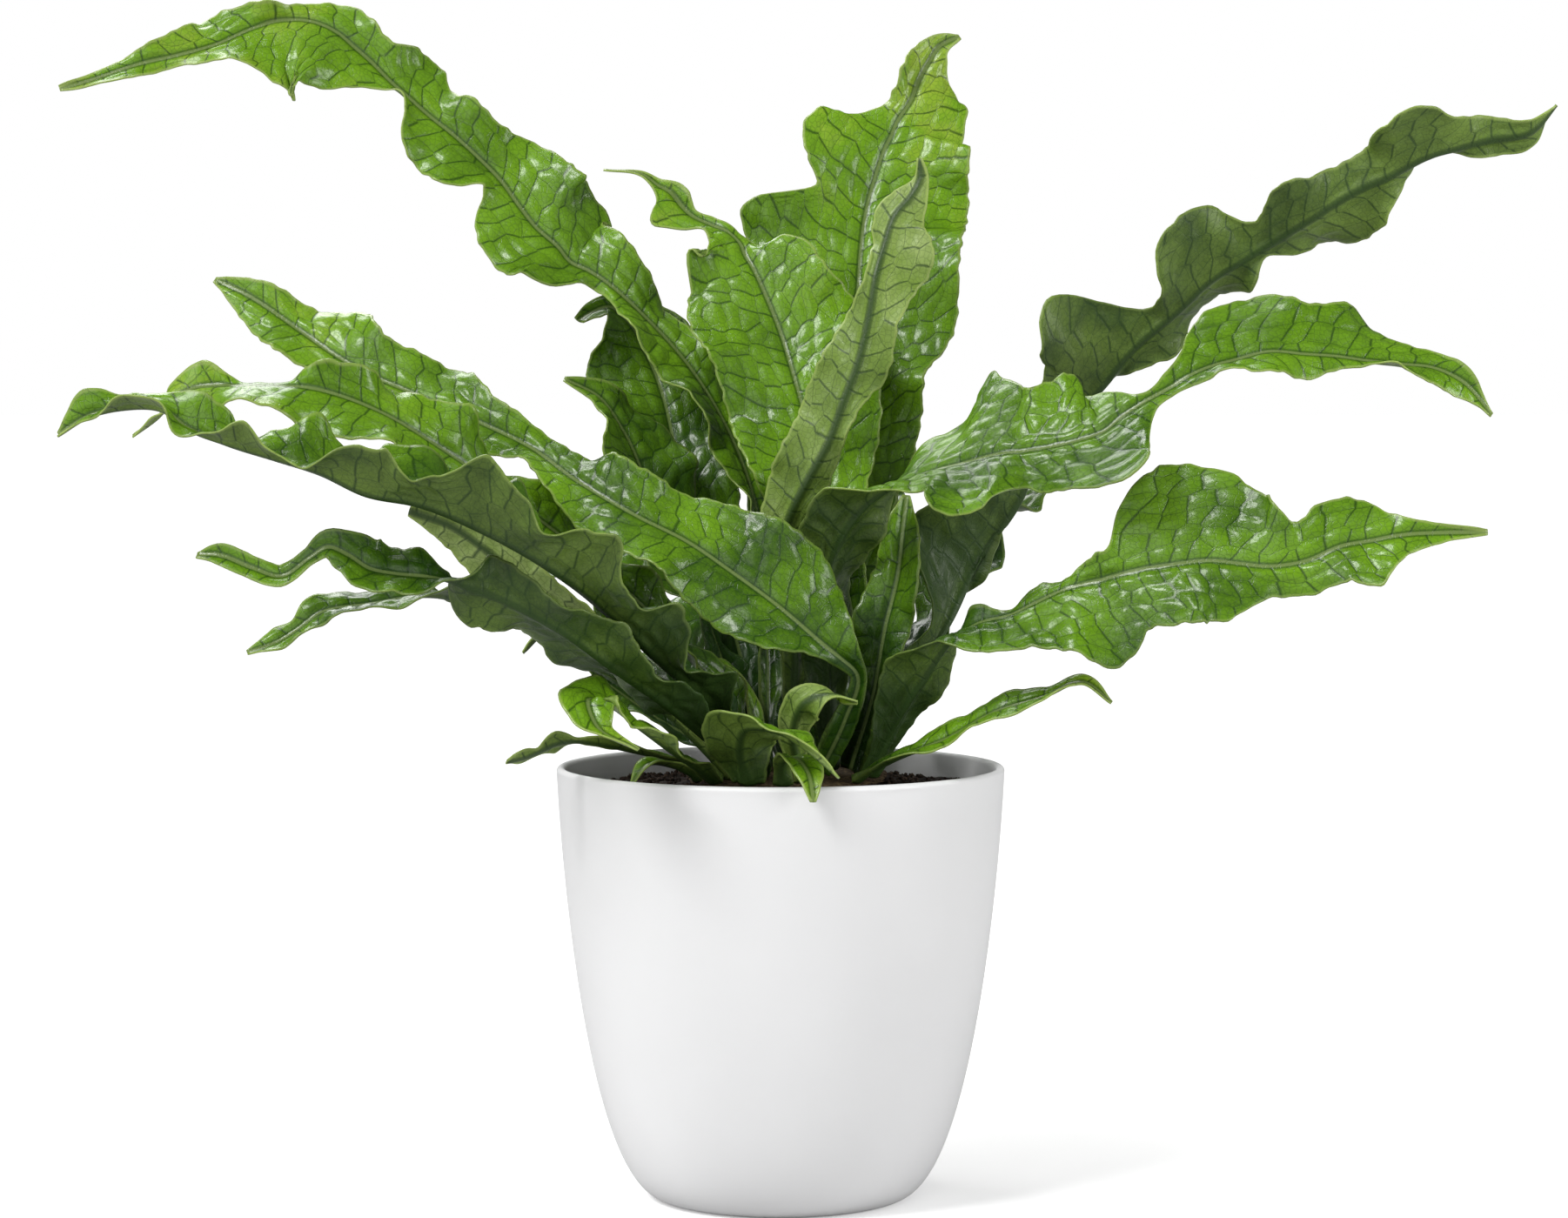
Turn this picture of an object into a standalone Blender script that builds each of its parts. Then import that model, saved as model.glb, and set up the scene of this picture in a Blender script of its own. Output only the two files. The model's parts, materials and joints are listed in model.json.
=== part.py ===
"""A crocodile fern in a round white planter.

The planter is one turned shell with a flat base. Potting soil fills it nearly to the rim.
The creeping rhizome lies on the soil, and every frond stands on the rhizome by its own stalk.
Each frond is one long wavy blade, built from a grid that follows the frond's midrib.
Lengths in the tables are millimetres, and MM turns them into metres. The origin is the
middle of the planter's flat base, +Z is up, and the plant is seen from -Y.
"""

import math
from collections import namedtuple

import bmesh
import bpy
import numpy as np
from mathutils import Matrix, Vector

MM = 0.001

# Planter
RIM_RADIUS = 92.0
POT_HEIGHT = 178.0
BASE_RADIUS = 48.0
WALL = 3.6
FLOOR = 5.0
POT_STEPS = 40
PROFILE_STEPS = 12

# Soil and rhizome
GAP = 0.6
SOIL_DEPTH_AT_WALL = 11.0
SOIL_RIM_SHARE = 0.06
SOIL_CROWN = 5.0
SOIL_STEPS = 8
RHIZOME_SIZE = (40.0, 64.0, 9.0)
RHIZOME_TOP = 3.0
RHIZOME_MIDDLE = (2.0, -4.0)

# Fronds
BLADE_THICKNESS = 1.2
STALK_THICKNESS = 3.0
SEGMENT = 12.0
ACROSS = 4
STALK_FOOT = 178.0
STALK_SHARE = 1 / 6
RIB_THICKNESS = 1.5
WAVE_RISE = 1.6
FULL_WAVE_WIDTH = 28.0

# facing: the way the upper face looks before it is turned, "front" (-Y) or "up" (+Z)
# fold: how far each half of the blade rises from flat, in degrees
# ruffle, wave: height and length of the margin's waves
# spine: points on the midrib as (x, y, height over the stalk's foot, width of the blade on one
#   side, width on the other side, turn), the turn in degrees
Frond = namedtuple("Frond", "facing fold ruffle wave spine")

FRONDS = {
    # Long fronds that stand up at the back and in the middle
    "frond_left_high": Frond("front", 10, 5, 48, [
        (-5, 14, 0, 4, 4, 60), (-5, 24, 49, 7, 7, 60), (-11, 40, 110, 11, 11, 50),
        (-28, 50, 149, 12, 15, 45), (-54, 62, 182, 12, 15, 40), (-82, 72, 205, 21, 9, 28),
        (-90, 74, 209, 25, 20, 26), (-94, 75, 214, 27, 27, 24), (-105, 78, 224, 29, 26, 20),
        (-112, 80, 233, 28, 23, 20), (-120, 83, 244, 25, 10, 22), (-130, 84, 254, 18, 23, 24),
        (-140, 86, 263, 16, 23, 26), (-150, 88, 271, 15, 20, 30), (-160, 89, 280, 23, 5, 34),
        (-168, 90, 287, 20, 9, 34), (-175, 91, 294, 11, 19, 30), (-183, 92, 301, 13, 29, 26),
        (-190, 92, 307, 15, 35, 22), (-202, 92, 312, 9, 42, 22), (-215, 91, 312, 6, 41, 24),
        (-228, 89, 308, 11, 31, 26), (-241, 86, 302, 15, 15, 28), (-257, 83, 297, 10, 6, 26),
        (-277, 80, 292, 5, 7, 26), (-294, 78, 286, 3, 4, 26), (-307, 76, 282, 1, 1, 26)]),
    "frond_centre_tall": Frond("front", 8, 6, 60, [
        (27, 16, 0, 4, 4, 0), (30, 24, 41, 12, 12, 0), (25, 36, 90, 20, 20, 0),
        (27, 56, 142, 33, 32, -5), (29, 63, 162, 34, 38, -6), (31, 69, 177, 42, 42, -7),
        (33, 76, 198, 44, 46, -8), (34, 84, 212, 44, 48, -6), (36, 92, 227, 44, 46, -4),
        (37, 94, 232, 44, 27, -4), (40, 98, 243, 43, 31, 0), (45, 102, 258, 38, 36, 0),
        (48, 105, 264, 35, 29, 0), (50, 107, 269, 33, 14, 0), (57, 111, 280, 26, 9, 5),
        (60, 115, 288, 21, 9, 0), (65, 118, 297, 9, 9, 0), (69, 120, 303, 5, 6, 0),
        (78, 122, 308, 1, 1, 0)]),
    "frond_centre_broad": Frond("front", 8, 5, 56, [
        (10, 2, 0, 4, 4, 0), (13, 8, 50, 9, 9, 0), (14, 16, 99, 18, 18, 0),
        (10, 26, 143, 33, 31, 0), (4, 34, 165, 36, 31, 0), (0, 40, 178, 35, 32, 0),
        (-6, 45, 193, 28, 35, 4), (-12, 50, 206, 22, 30, 8), (-15, 53, 211, 12, 26, 12),
        (-17, 56, 216, 5, 22, 18), (-22, 58, 221, 4, 14, 25), (-29, 61, 224, 4, 6, 35),
        (-39, 64, 229, 3, 12, 30), (-42, 65, 232, 4, 16, 30), (-47, 66, 238, 4, 10, 35),
        (-52, 67, 241, 3, 4, 45), (-57, 68, 245, 2, 2, 50), (-75, 68, 248, 1, 1, 60)]),
    "frond_centre_young": Frond("front", 14, 3, 40, [
        (5, -12, 0, 4, 4, 180), (6, -18, 51, 6, 6, 180), (3, -26, 101, 12, 10, 178),
        (10, -29, 116, 16, 9, 176), (21, -30, 137, 17, 6, 173), (26, -30, 151, 17, 8, 171),
        (31, -29, 164, 16, 12, 168), (36, -26, 184, 11, 13, 164), (39, -22, 201, 5, 18, 161),
        (42, -18, 211, 6, 21, 158), (47, -14, 225, 11, 14, 154), (53, -12, 232, 8, 7, 152),
        (57, -10, 240, 3, 3, 150), (57, -10, 248, 1, 1, 150)]),
    "frond_back_left_dark": Frond("front", 8, 4, 50, [
        (-9, 20, 0, 4, 4, 20), (-18, 36, 48, 8, 8, 20), (-33, 54, 91, 18, 16, 14),
        (-45, 74, 129, 26, 26, 10), (-50, 82, 150, 27, 28, 8), (-57, 90, 168, 24, 29, 10),
        (-66, 93, 184, 14, 17, 22), (-74, 93, 190, 7, 6, 35), (-81, 92, 188, 5, 7, 45),
        (-87, 88, 184, 2, 3, 50)]),
    "frond_left_inner": Frond("front", 14, 6, 48, [
        (-13, 6, 0, 4, 4, 60), (-26, 18, 49, 8, 21, 60), (-41, 32, 84, 15, 25, 55),
        (-55, 44, 113, 21, 21, 50), (-66, 52, 137, 19, 19, 45), (-76, 54, 151, 8, 8, 60),
        (-91, 52, 159, 1, 1, 60)]),
    # Fronds that lean to the left
    "frond_front_left_broad": Frond("front", 6, 6, 62, [
        (16, -40, 1, 4, 4, 0), (26, -48, 23, 5, 5, 0), (30, -56, 42, 4, 3, 0),
        (24, -60, 48, 9, 4, 5), (17, -62, 54, 16, 6, 8), (8, -63, 62, 24, 14, 14),
        (1, -64, 68, 28, 20, 18), (-18, -62, 82, 26, 22, 24), (-37, -60, 95, 22, 21, 28),
        (-57, -58, 105, 18, 18, 30), (-80, -47, 118, 15, 14, 32), (-101, -30, 132, 9, 9, 34),
        (-118, -24, 140, 10, 12, 34), (-137, -18, 148, 20, 15, 30), (-151, -13, 154, 18, 13, 28),
        (-170, -6, 162, 16, 12, 25), (-184, 0, 170, 22, 13, 22), (-196, 6, 178, 14, 15, 20),
        (-221, 15, 194, 6, 8, 20), (-234, 20, 200, 1, 1, 20)]),
    "frond_front_left_long": Frond("front", 38, 7, 44, [
        (-7, -28, 0, 4, 4, 100), (-25, -50, 25, 10, 10, 100), (-51, -82, 53, 19, 19, 100),
        (-80, -108, 81, 25, 25, 98), (-111, -126, 101, 28, 27, 98), (-137, -130, 112, 27, 25, 96),
        (-156, -136, 116, 24, 20, 92), (-173, -138, 124, 19, 17, 86), (-189, -138, 129, 15, 12, 76),
        (-209, -135, 135, 12, 12, 68), (-224, -133, 141, 11, 12, 62), (-232, -132, 147, 10, 11, 60),
        (-249, -130, 148, 8, 8, 60), (-262, -128, 145, 7, 6, 60), (-274, -126, 138, 1, 1, 60)]),
    "frond_left_mid": Frond("front", 8, 8, 52, [
        (-3, -8, 0, 4, 4, 60), (-32, -22, 42, 10, 10, 60), (-68, -34, 80, 11, 12, 55),
        (-102, -50, 108, 12, 17, 50), (-133, -70, 132, 17, 22, 45), (-157, -80, 147, 16, 20, 40),
        (-180, -82, 155, 8, 20, 40), (-209, -80, 157, 4, 18, 50), (-236, -74, 153, 7, 10, 60),
        (-245, -70, 144, 4, 6, 60), (-255, -68, 137, 1, 1, 60)]),
    "frond_left_pale": Frond("front", 10, 2, 40, [
        (-20, -34, 0, 3, 3, 100), (-46, -46, 28, 5, 5, 110), (-74, -60, 57, 8, 8, 130),
        (-102, -66, 80, 12, 11, 150), (-116, -68, 92, 13, 11, 160), (-129, -68, 101, 10, 8, 160),
        (-146, -66, 107, 2, 2, 160)]),
    "frond_low_left_twist": Frond("front", 10, 4, 44, [
        (-11, -38, 0, 4, 4, 110), (-27, -54, 15, 9, 9, 115), (-46, -72, 32, 15, 15, 120),
        (-67, -88, 48, 17, 17, 130), (-82, -100, 60, 18, 17, 138), (-100, -108, 71, 15, 12, 145),
        (-108, -110, 75, 16, 13, 150), (-119, -112, 79, 15, 14, 150), (-128, -115, 83, 5, 6, 90),
        (-136, -116, 84, 10, 9, 40), (-147, -116, 85, 12, 12, 35), (-157, -116, 87, 12, 11, 30),
        (-165, -116, 92, 9, 8, 30), (-173, -116, 95, 6, 5, 30), (-180, -116, 91, 4, 4, 30),
        (-191, -115, 84, 5, 6, 30), (-202, -114, 87, 4, 5, 30), (-216, -112, 92, 4, 4, 30),
        (-224, -110, 92, 1, 1, 30)]),
    "frond_low_left_back": Frond("front", 10, 4, 42, [
        (-16, -18, 0, 3.5, 3.5, 80), (-38, -26, 19, 8, 8, 85), (-69, -34, 40, 12, 12, 95),
        (-103, -42, 60, 13, 13, 95), (-138, -48, 73, 12, 12, 90), (-164, -50, 70, 9, 9, 60),
        (-184, -52, 66, 8, 8, 50), (-192, -53, 60, 4, 4, 45), (-200, -54, 55, 6, 6, 40),
        (-212, -56, 51, 1, 1, 40)]),
    "frond_left_hook": Frond("front", 16, 3, 36, [
        (-12, 24, 0, 3.5, 3.5, 60), (-41, 34, 11, 8, 8, 60), (-70, 42, 29, 12, 12, 60),
        (-89, 44, 44, 11, 11, 70), (-99, 44, 52, 7, 7, 80), (-109, 42, 44, 1, 1, 90)]),
    "frond_low_left_curl": Frond("up", 8, 3, 40, [
        (-26, -46, 0, 4, 4, 0), (-40, -64, 11, 9, 9, -20), (-54, -82, 23, 14, 14, -25),
        (-66, -94, 33, 15, 15, -25), (-74, -104, 36, 12, 12, -10), (-70, -112, 26, 8, 7, 10),
        (-54, -117, 18, 1, 1, 20)]),
    "frond_low_left_beads": Frond("up", 5, 2, 34, [
        (-26, -20, 0, 3, 3, 0), (-44, -26, 6, 4, 4, 0), (-63, -36, 11, 5, 5, 10),
        (-75, -44, 14, 5, 5, 30), (-82, -48, 15, 2, 2, 40), (-90, -52, 14, 6, 6, 45),
        (-97, -55, 11, 2, 2, 45), (-103, -58, 9, 5, 5, 45), (-109, -61, 8, 1, 1, 45)]),
    "frond_rim_left_small": Frond("up", 10, 1, 30, [
        (-33, -37, 0, 3, 3, 0), (-43, -44, 5, 4, 4, 0), (-53, -51, 6, 5, 5, 0),
        (-60, -56, -2, 1, 1, 0)]),
    # Short fronds at the front and in the heart
    "frond_front_centre_arch": Frond("up", 6, 2.5, 40, [
        (-12, -60, 0, 7, 7, 0), (-16, -68, 12, 13, 13, 0), (-14, -78, 22, 16, 16, -10),
        (0, -90, 22, 15, 15, -20), (12, -100, 15, 9, 9, -20), (23, -106, 6, 1, 1, -20)]),
    "frond_front_rim_small": Frond("up", 8, 1.5, 30, [
        (1, -62, 0, 3, 3, 0), (1, -70, 9, 4, 4, 0), (6, -80, 11, 7, 7, 0),
        (11, -92, 6, 6, 6, 0), (13, -101, -4, 1, 1, 0)]),
    "frond_front_small_curl": Frond("front", 10, 2.5, 30, [
        (9, -50, 0, 3, 3, 180), (5, -60, 18, 6, 6, 180), (10, -68, 31, 8, 8, 160),
        (20, -72, 34, 6, 6, 100), (30, -74, 31, 1, 1, 60)]),
    "frond_inner_small": Frond("front", 10, 2, 30, [
        (-5, 6, 0, 3, 3, 60), (-11, 2, 21, 6, 6, 70), (-20, -4, 40, 7, 7, 90),
        (-32, -10, 45, 1, 1, 90)]),
    "frond_centre_dark": Frond("front", 14, 2, 46, [
        (31, -1, 0, 3, 3, 0), (30, -2, 29, 6, 6, 0), (28, -4, 57, 8, 8, 0),
        (27, -4, 79, 8, 8, 0), (27, -2, 96, 5, 5, 0), (28, 0, 108, 1, 1, 0)]),
    # Fronds that lean to the right
    "frond_right_front_arch": Frond("front", 6, 6, 60, [
        (19, -14, 0, 4, 4, -170), (19, -22, 44, 9, 9, -165), (20, -34, 86, 16, 16, -150),
        (36, -46, 111, 18, 16, -125), (63, -58, 124, 24, 30, -66), (71, -62, 126, 36, 42, -54),
        (78, -66, 128, 36, 46, -48), (86, -70, 130, 30, 36, -45), (95, -74, 131, 17, 25, -45),
        (106, -78, 133, 23, 28, -45), (118, -81, 136, 29, 32, -42), (126, -82, 139, 32, 27, -40),
        (132, -82, 144, 28, 18, -40), (141, -82, 150, 9, 4, -40), (152, -81, 156, 4, 5, -42),
        (160, -81, 161, 5, 9, -45), (167, -80, 164, 7, 20, -45), (178, -78, 167, 13, 31, -45),
        (190, -78, 170, 17, 31, -45), (205, -76, 169, 10, 22, -48), (219, -74, 168, 6, 24, -48),
        (226, -73, 167, 5, 27, -47), (235, -72, 166, 7, 22, -46), (245, -71, 165, 9, 13, -45),
        (255, -70, 164, 10, 8, -45), (268, -69, 158, 8, 4, -42), (280, -68, 145, 1, 1, -40)]),
    "frond_right_high": Frond("front", 8, 7, 56, [
        (34, 8, 0, 4, 4, -130), (49, 12, 29, 8, 6, -135), (69, 14, 59, 12, 3, -140),
        (77, 16, 75, 30, 4, -145), (87, 16, 92, 32, 2, -145), (97, 14, 107, 24, 2, -145),
        (104, 12, 122, 16, 8, -145), (120, 6, 145, 22, 8, -145), (128, 3, 152, 32, 6, -145),
        (134, 0, 159, 39, 4, -145), (141, -3, 168, 40, 8, -145), (147, -5, 174, 22, 12, -145),
        (154, -8, 180, 9, 16, -142), (164, -11, 189, 20, 16, -140), (172, -14, 197, 33, 15, -140),
        (179, -16, 202, 33, 14, -140), (184, -18, 205, 29, 12, -138), (189, -19, 208, 20, 6, -138),
        (194, -20, 211, 14, 4, -140), (202, -23, 216, 15, 14, -148), (208, -26, 220, 21, 18, -152),
        (213, -28, 223, 24, 20, -152), (222, -30, 229, 14, 23, -150), (235, -33, 236, 11, 17, -148),
        (242, -35, 239, 14, 10, -145), (247, -36, 242, 22, 9, -142), (257, -38, 247, 29, 4, -140),
        (270, -38, 251, 16, 5, -138), (283, -38, 254, 8, 7, -136), (298, -40, 257, 6, 8, -134),
        (308, -40, 268, 1, 1, -134)]),
    "frond_right_low": Frond("front", 4, 5, 66, [
        (35, -30, 0, 4, 4, -150), (44, -38, 18, 10, 8, -150), (56, -50, 38, 16, 9, -148),
        (69, -62, 58, 14, 8, -110), (77, -68, 63, 17, 6, -75), (90, -75, 67, 20, 3, -45),
        (100, -79, 72, 23, 8, -34), (110, -84, 77, 28, 5, -28), (125, -88, 81, 36, 9, -24),
        (131, -91, 83, 32, 11, -22), (138, -93, 85, 25, 27, -21), (149, -96, 87, 25, 39, -20),
        (168, -99, 89, 27, 37, -20), (177, -101, 88, 24, 31, -20), (188, -103, 87, 13, 26, -20),
        (202, -104, 89, 13, 15, -20), (216, -105, 95, 16, 19, -20), (227, -105, 97, 20, 18, -20),
        (237, -106, 99, 11, 9, -20), (255, -106, 100, 4, 3, -20), (272, -106, 100, 1, 1, -20)]),
    "frond_right_inner": Frond("front", 16, 4, 50, [
        (28, -20, 0, 4, 4, -30), (37, -28, 31, 9, 9, -30), (42, -32, 59, 12, 12, -30),
        (47, -32, 80, 12, 11, -25), (49, -28, 97, 8, 8, -20), (51, -24, 112, 1, 1, -20)]),
    "frond_right_low_narrow": Frond("up", 8, 2, 34, [
        (30, -42, 0, 3, 3, 0), (46, -52, 9, 6, 6, 20), (65, -62, 17, 8, 8, 30),
        (83, -70, 28, 9, 8, 30), (103, -76, 35, 7, 6, 25), (119, -80, 41, 4, 4, 20),
        (130, -82, 33, 1, 1, 20)]),
    # Fronds round the back of the rosette
    "frond_back_right": Frond("front", 10, 7, 48, [
        (37, 22, 0, 4, 4, -60), (55, 50, 39, 12, 12, -60), (76, 84, 74, 19, 19, -60),
        (98, 120, 104, 20, 20, -60), (121, 150, 130, 15, 15, -60), (143, 176, 148, 1, 1, -60)]),
    "frond_back_left": Frond("front", 10, 7, 48, [
        (-16, 36, 0, 4, 4, 60), (-39, 62, 32, 19, 13, 60), (-66, 92, 59, 28, 22, 60),
        (-97, 130, 86, 24, 24, 60), (-130, 160, 109, 16, 16, 60), (-160, 180, 127, 1, 1, 60)]),
    "frond_back_centre_right": Frond("front", 10, 7, 50, [
        (17, 32, 0, 4, 4, 0), (21, 70, 44, 12, 12, 0), (30, 118, 92, 20, 22, 0),
        (38, 164, 137, 22, 28, 0), (45, 200, 174, 17, 22, 0), (50, 226, 201, 1, 1, 0)]),
    "frond_back_centre_left": Frond("front", 10, 7, 50, [
        (3, 36, 0, 4, 4, 0), (1, 82, 35, 12, 12, 0), (4, 136, 76, 20, 20, 0),
        (8, 182, 109, 24, 24, 0), (7, 222, 140, 20, 20, 0), (1, 250, 169, 1, 1, 0)]),
    "frond_back_low_right": Frond("up", 8, 5, 44, [
        (22, 48, 0, 4, 4, 0), (36, 82, 15, 12, 12, 0), (46, 116, 28, 18, 18, 0),
        (50, 152, 30, 18, 18, 0), (52, 186, 20, 1, 1, 0)]),
    "frond_back_low_left": Frond("up", 8, 5, 44, [
        (-8, 53, 0, 4, 4, 0), (-32, 80, 17, 12, 12, 0), (-50, 112, 31, 20, 20, 0),
        (-64, 150, 35, 18, 18, 0), (-74, 188, 24, 1, 1, 0)]),
    "frond_back_middle": Frond("up", 8, 6, 46, [
        (8, 52, 0, 4, 4, 0), (9, 92, 25, 13, 13, 0), (11, 142, 48, 22, 22, 0),
        (13, 194, 57, 24, 24, 0), (14, 240, 47, 14, 14, 0), (14, 268, 30, 1, 1, 0)]),
}


def clear_scene():
    for obj in list(bpy.data.objects):
        bpy.data.objects.remove(obj, do_unlink=True)


def material(name, colour, roughness):
    """A Principled material. The colour is linear RGB."""
    made = bpy.data.materials.new(name)
    made.use_nodes = True
    shader = made.node_tree.nodes["Principled BSDF"]
    shader.inputs["Base Color"].default_value = (*colour, 1.0)
    shader.inputs["Roughness"].default_value = roughness
    shader.inputs["Metallic"].default_value = 0.0
    return made


def add_object(name, bm, surface):
    """Turns the bmesh into a named object with its material, shaded smooth."""
    mesh = bpy.data.meshes.new(name)
    bm.to_mesh(mesh)
    bm.free()
    mesh.shade_smooth()
    mesh.set_sharp_from_angle(angle=math.radians(40))
    mesh.materials.append(surface)
    obj = bpy.data.objects.new(name, mesh)
    bpy.context.scene.collection.objects.link(obj)
    return obj


def pot_radius_and_height(t, inset=0.0):
    """A point of the planter's outer curve, t from 0 at the rim to 1 at the base.

    The wall drops almost straight, then sweeps in to the base on one cubic curve.
    """
    corners = (
        Vector((RIM_RADIUS - inset, POT_HEIGHT)),
        Vector((RIM_RADIUS - 1.0 - inset, POT_HEIGHT - 32.0)),
        Vector((BASE_RADIUS + 32.0 - inset, inset)),
        Vector((BASE_RADIUS - inset, inset)),
    )
    weights = ((1 - t) ** 3, 3 * t * (1 - t) ** 2, 3 * t * t * (1 - t), t ** 3)
    point = Vector((0.0, 0.0))
    for corner, weight in zip(corners, weights):
        point += corner * weight
    return point


def turned(name, profile, surface):
    """Spins a profile of (radius, height) points, from axis to axis, into a closed body."""
    bm = bmesh.new()
    verts = [bm.verts.new((radius * MM, 0.0, height * MM)) for radius, height in profile]
    edges = [bm.edges.new(pair) for pair in zip(verts, verts[1:])]
    bmesh.ops.spin(
        bm, geom=verts + edges, cent=(0, 0, 0), axis=(0, 0, 1), angle=math.tau,
        steps=POT_STEPS, use_merge=True, use_duplicate=False)
    bmesh.ops.remove_doubles(bm, verts=bm.verts, dist=1e-6)
    bmesh.ops.recalc_face_normals(bm, faces=bm.faces)
    return add_object(name, bm, surface)


def make_pot(surface):
    """The planter: outer curve, rounded lip, inner wall and floor in one profile."""
    outer = [pot_radius_and_height(1 - i / PROFILE_STEPS) for i in range(PROFILE_STEPS)]
    lip_radius = WALL / 2
    lip_centre = Vector((RIM_RADIUS - lip_radius, POT_HEIGHT - lip_radius))
    lip = []
    for degrees in (0, 45, 90, 135, 180):
        angle = math.radians(degrees)
        lip.append(lip_centre + lip_radius * Vector((math.cos(angle), math.sin(angle))))
    wall = [pot_radius_and_height(i / PROFILE_STEPS, inset=WALL) for i in range(1, PROFILE_STEPS)]
    wall = [point for point in wall if point.y > FLOOR]
    floor_edge = Vector((BASE_RADIUS - WALL, FLOOR))
    profile = [Vector((0, 0)), *outer, *lip, *wall, floor_edge, Vector((0, FLOOR))]
    return turned("pot", profile, surface)


def make_soil(surface):
    """Potting soil: it follows the inner wall and rises a little under the rhizome."""
    inset = WALL + GAP
    top = POT_HEIGHT - SOIL_DEPTH_AT_WALL
    bottom = FLOOR + GAP
    rim = pot_radius_and_height(SOIL_RIM_SHARE, inset).x
    mound = []
    for i in range(SOIL_STEPS - 1, 0, -1):
        share = i / SOIL_STEPS
        mound.append(Vector((rim * (1 - share), top + SOIL_CROWN * min(1.0, 2 * share))))
    wall = [pot_radius_and_height(i / PROFILE_STEPS, inset) for i in range(1, PROFILE_STEPS)]
    wall = [point for point in wall if bottom + GAP < point.y < top - GAP]
    profile = [
        Vector((0, top + SOIL_CROWN)), *mound, Vector((rim, top)), *wall,
        Vector((BASE_RADIUS - inset - 2 * GAP, bottom)), Vector((0, bottom)),
    ]
    return turned("potting_soil", profile, surface)


def make_rhizome(surface):
    """The creeping stem under the crown: a low oval cushion, flat above and below."""
    bm = bmesh.new()
    bmesh.ops.create_uvsphere(bm, u_segments=20, v_segments=8, radius=1.0)
    bottom = POT_HEIGHT - SOIL_DEPTH_AT_WALL + SOIL_CROWN + GAP
    bmesh.ops.scale(bm, verts=bm.verts, vec=RHIZOME_SIZE)
    for height, up in ((0.0, -1), (RHIZOME_TOP, 1)):
        geom = bm.verts[:] + bm.edges[:] + bm.faces[:]
        bmesh.ops.bisect_plane(
            bm, geom=geom, plane_co=(0, 0, height), plane_no=(0, 0, up), clear_outer=True)
        bmesh.ops.holes_fill(bm, edges=[edge for edge in bm.edges if edge.is_boundary], sides=0)
    bmesh.ops.recalc_face_normals(bm, faces=bm.faces)
    bmesh.ops.scale(bm, verts=bm.verts, vec=(MM, MM, MM))
    bmesh.ops.translate(bm, verts=bm.verts, vec=Vector((*RHIZOME_MIDDLE, bottom)) * MM)
    return add_object("rhizome", bm, surface)


class Spine:
    """A smooth curve through a frond's spine points, read by distance along it."""

    def __init__(self, points):
        self.points = np.array(points, float) + (0, 0, STALK_FOOT, 0, 0, 0)
        steps = np.linalg.norm(np.diff(self.points[:, :3], axis=0), axis=1)
        self.at = np.concatenate([[0.0], np.cumsum(steps)])
        self.length = self.at[-1]
        slopes = np.diff(self.points, axis=0) / steps[:, None]
        share = (steps[:-1] / (steps[:-1] + steps[1:]))[:, None]
        inner = slopes[:-1] * (1 - share) + slopes[1:] * share
        self.slopes = np.concatenate([slopes[:1], inner, slopes[-1:]])

    def read(self, distance):
        """x, y, z, the two widths and the turn at a distance along the spine."""
        i = int(np.clip(np.searchsorted(self.at, distance) - 1, 0, len(self.at) - 2))
        span = self.at[i + 1] - self.at[i]
        t = (distance - self.at[i]) / span
        return (
            self.points[i] * (2 * t ** 3 - 3 * t ** 2 + 1)
            + self.points[i + 1] * (3 * t ** 2 - 2 * t ** 3)
            + self.slopes[i] * span * (t ** 3 - 2 * t ** 2 + t)
            + self.slopes[i + 1] * span * (t ** 3 - t ** 2)
        )


class FrondShape:
    """Where any point of a frond's blade is, from its distance along and its share across."""

    def __init__(self, frond):
        self.frond = frond
        self.spine = Spine(frond.spine)
        self.length = self.spine.length
        self.upper = Vector((0, -1, 0)) if frond.facing == "front" else Vector((0, 0, 1))

    def directions(self, distance, turn):
        """The midrib's direction, the upper face's normal and the way across at a distance."""
        step = 1.0
        ahead = self.spine.read(min(distance + step, self.length))
        behind = self.spine.read(max(distance - step, 0.0))
        along = Vector(ahead[:3] - behind[:3]).normalized()
        normal = (self.upper - along * self.upper.dot(along)).normalized()
        normal.rotate(Matrix.Rotation(math.radians(turn), 3, along))
        return along, normal, along.cross(normal)

    def point(self, distance, across):
        """A point of the blade, across from -1 to 1."""
        *centre, width_one, width_other, turn = self.spine.read(distance)
        along, normal, aside = self.directions(distance, turn)
        side = 1 if across > 0 else -1
        reach = abs(across) * max(width_one if side > 0 else width_other, 0.5)
        fold = math.radians(self.frond.fold)
        grown = min(1.0, (width_one + width_other) / FULL_WAVE_WIDTH)
        phase = math.tau * (distance / self.frond.wave + (0.5 if side > 0 else 0.0))
        wave = self.frond.ruffle * grown * abs(across) ** WAVE_RISE * math.sin(phase)
        return (
            Vector(centre) + aside * side * reach * math.cos(fold)
            + normal * (reach * math.sin(fold) + wave)
        )


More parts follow.
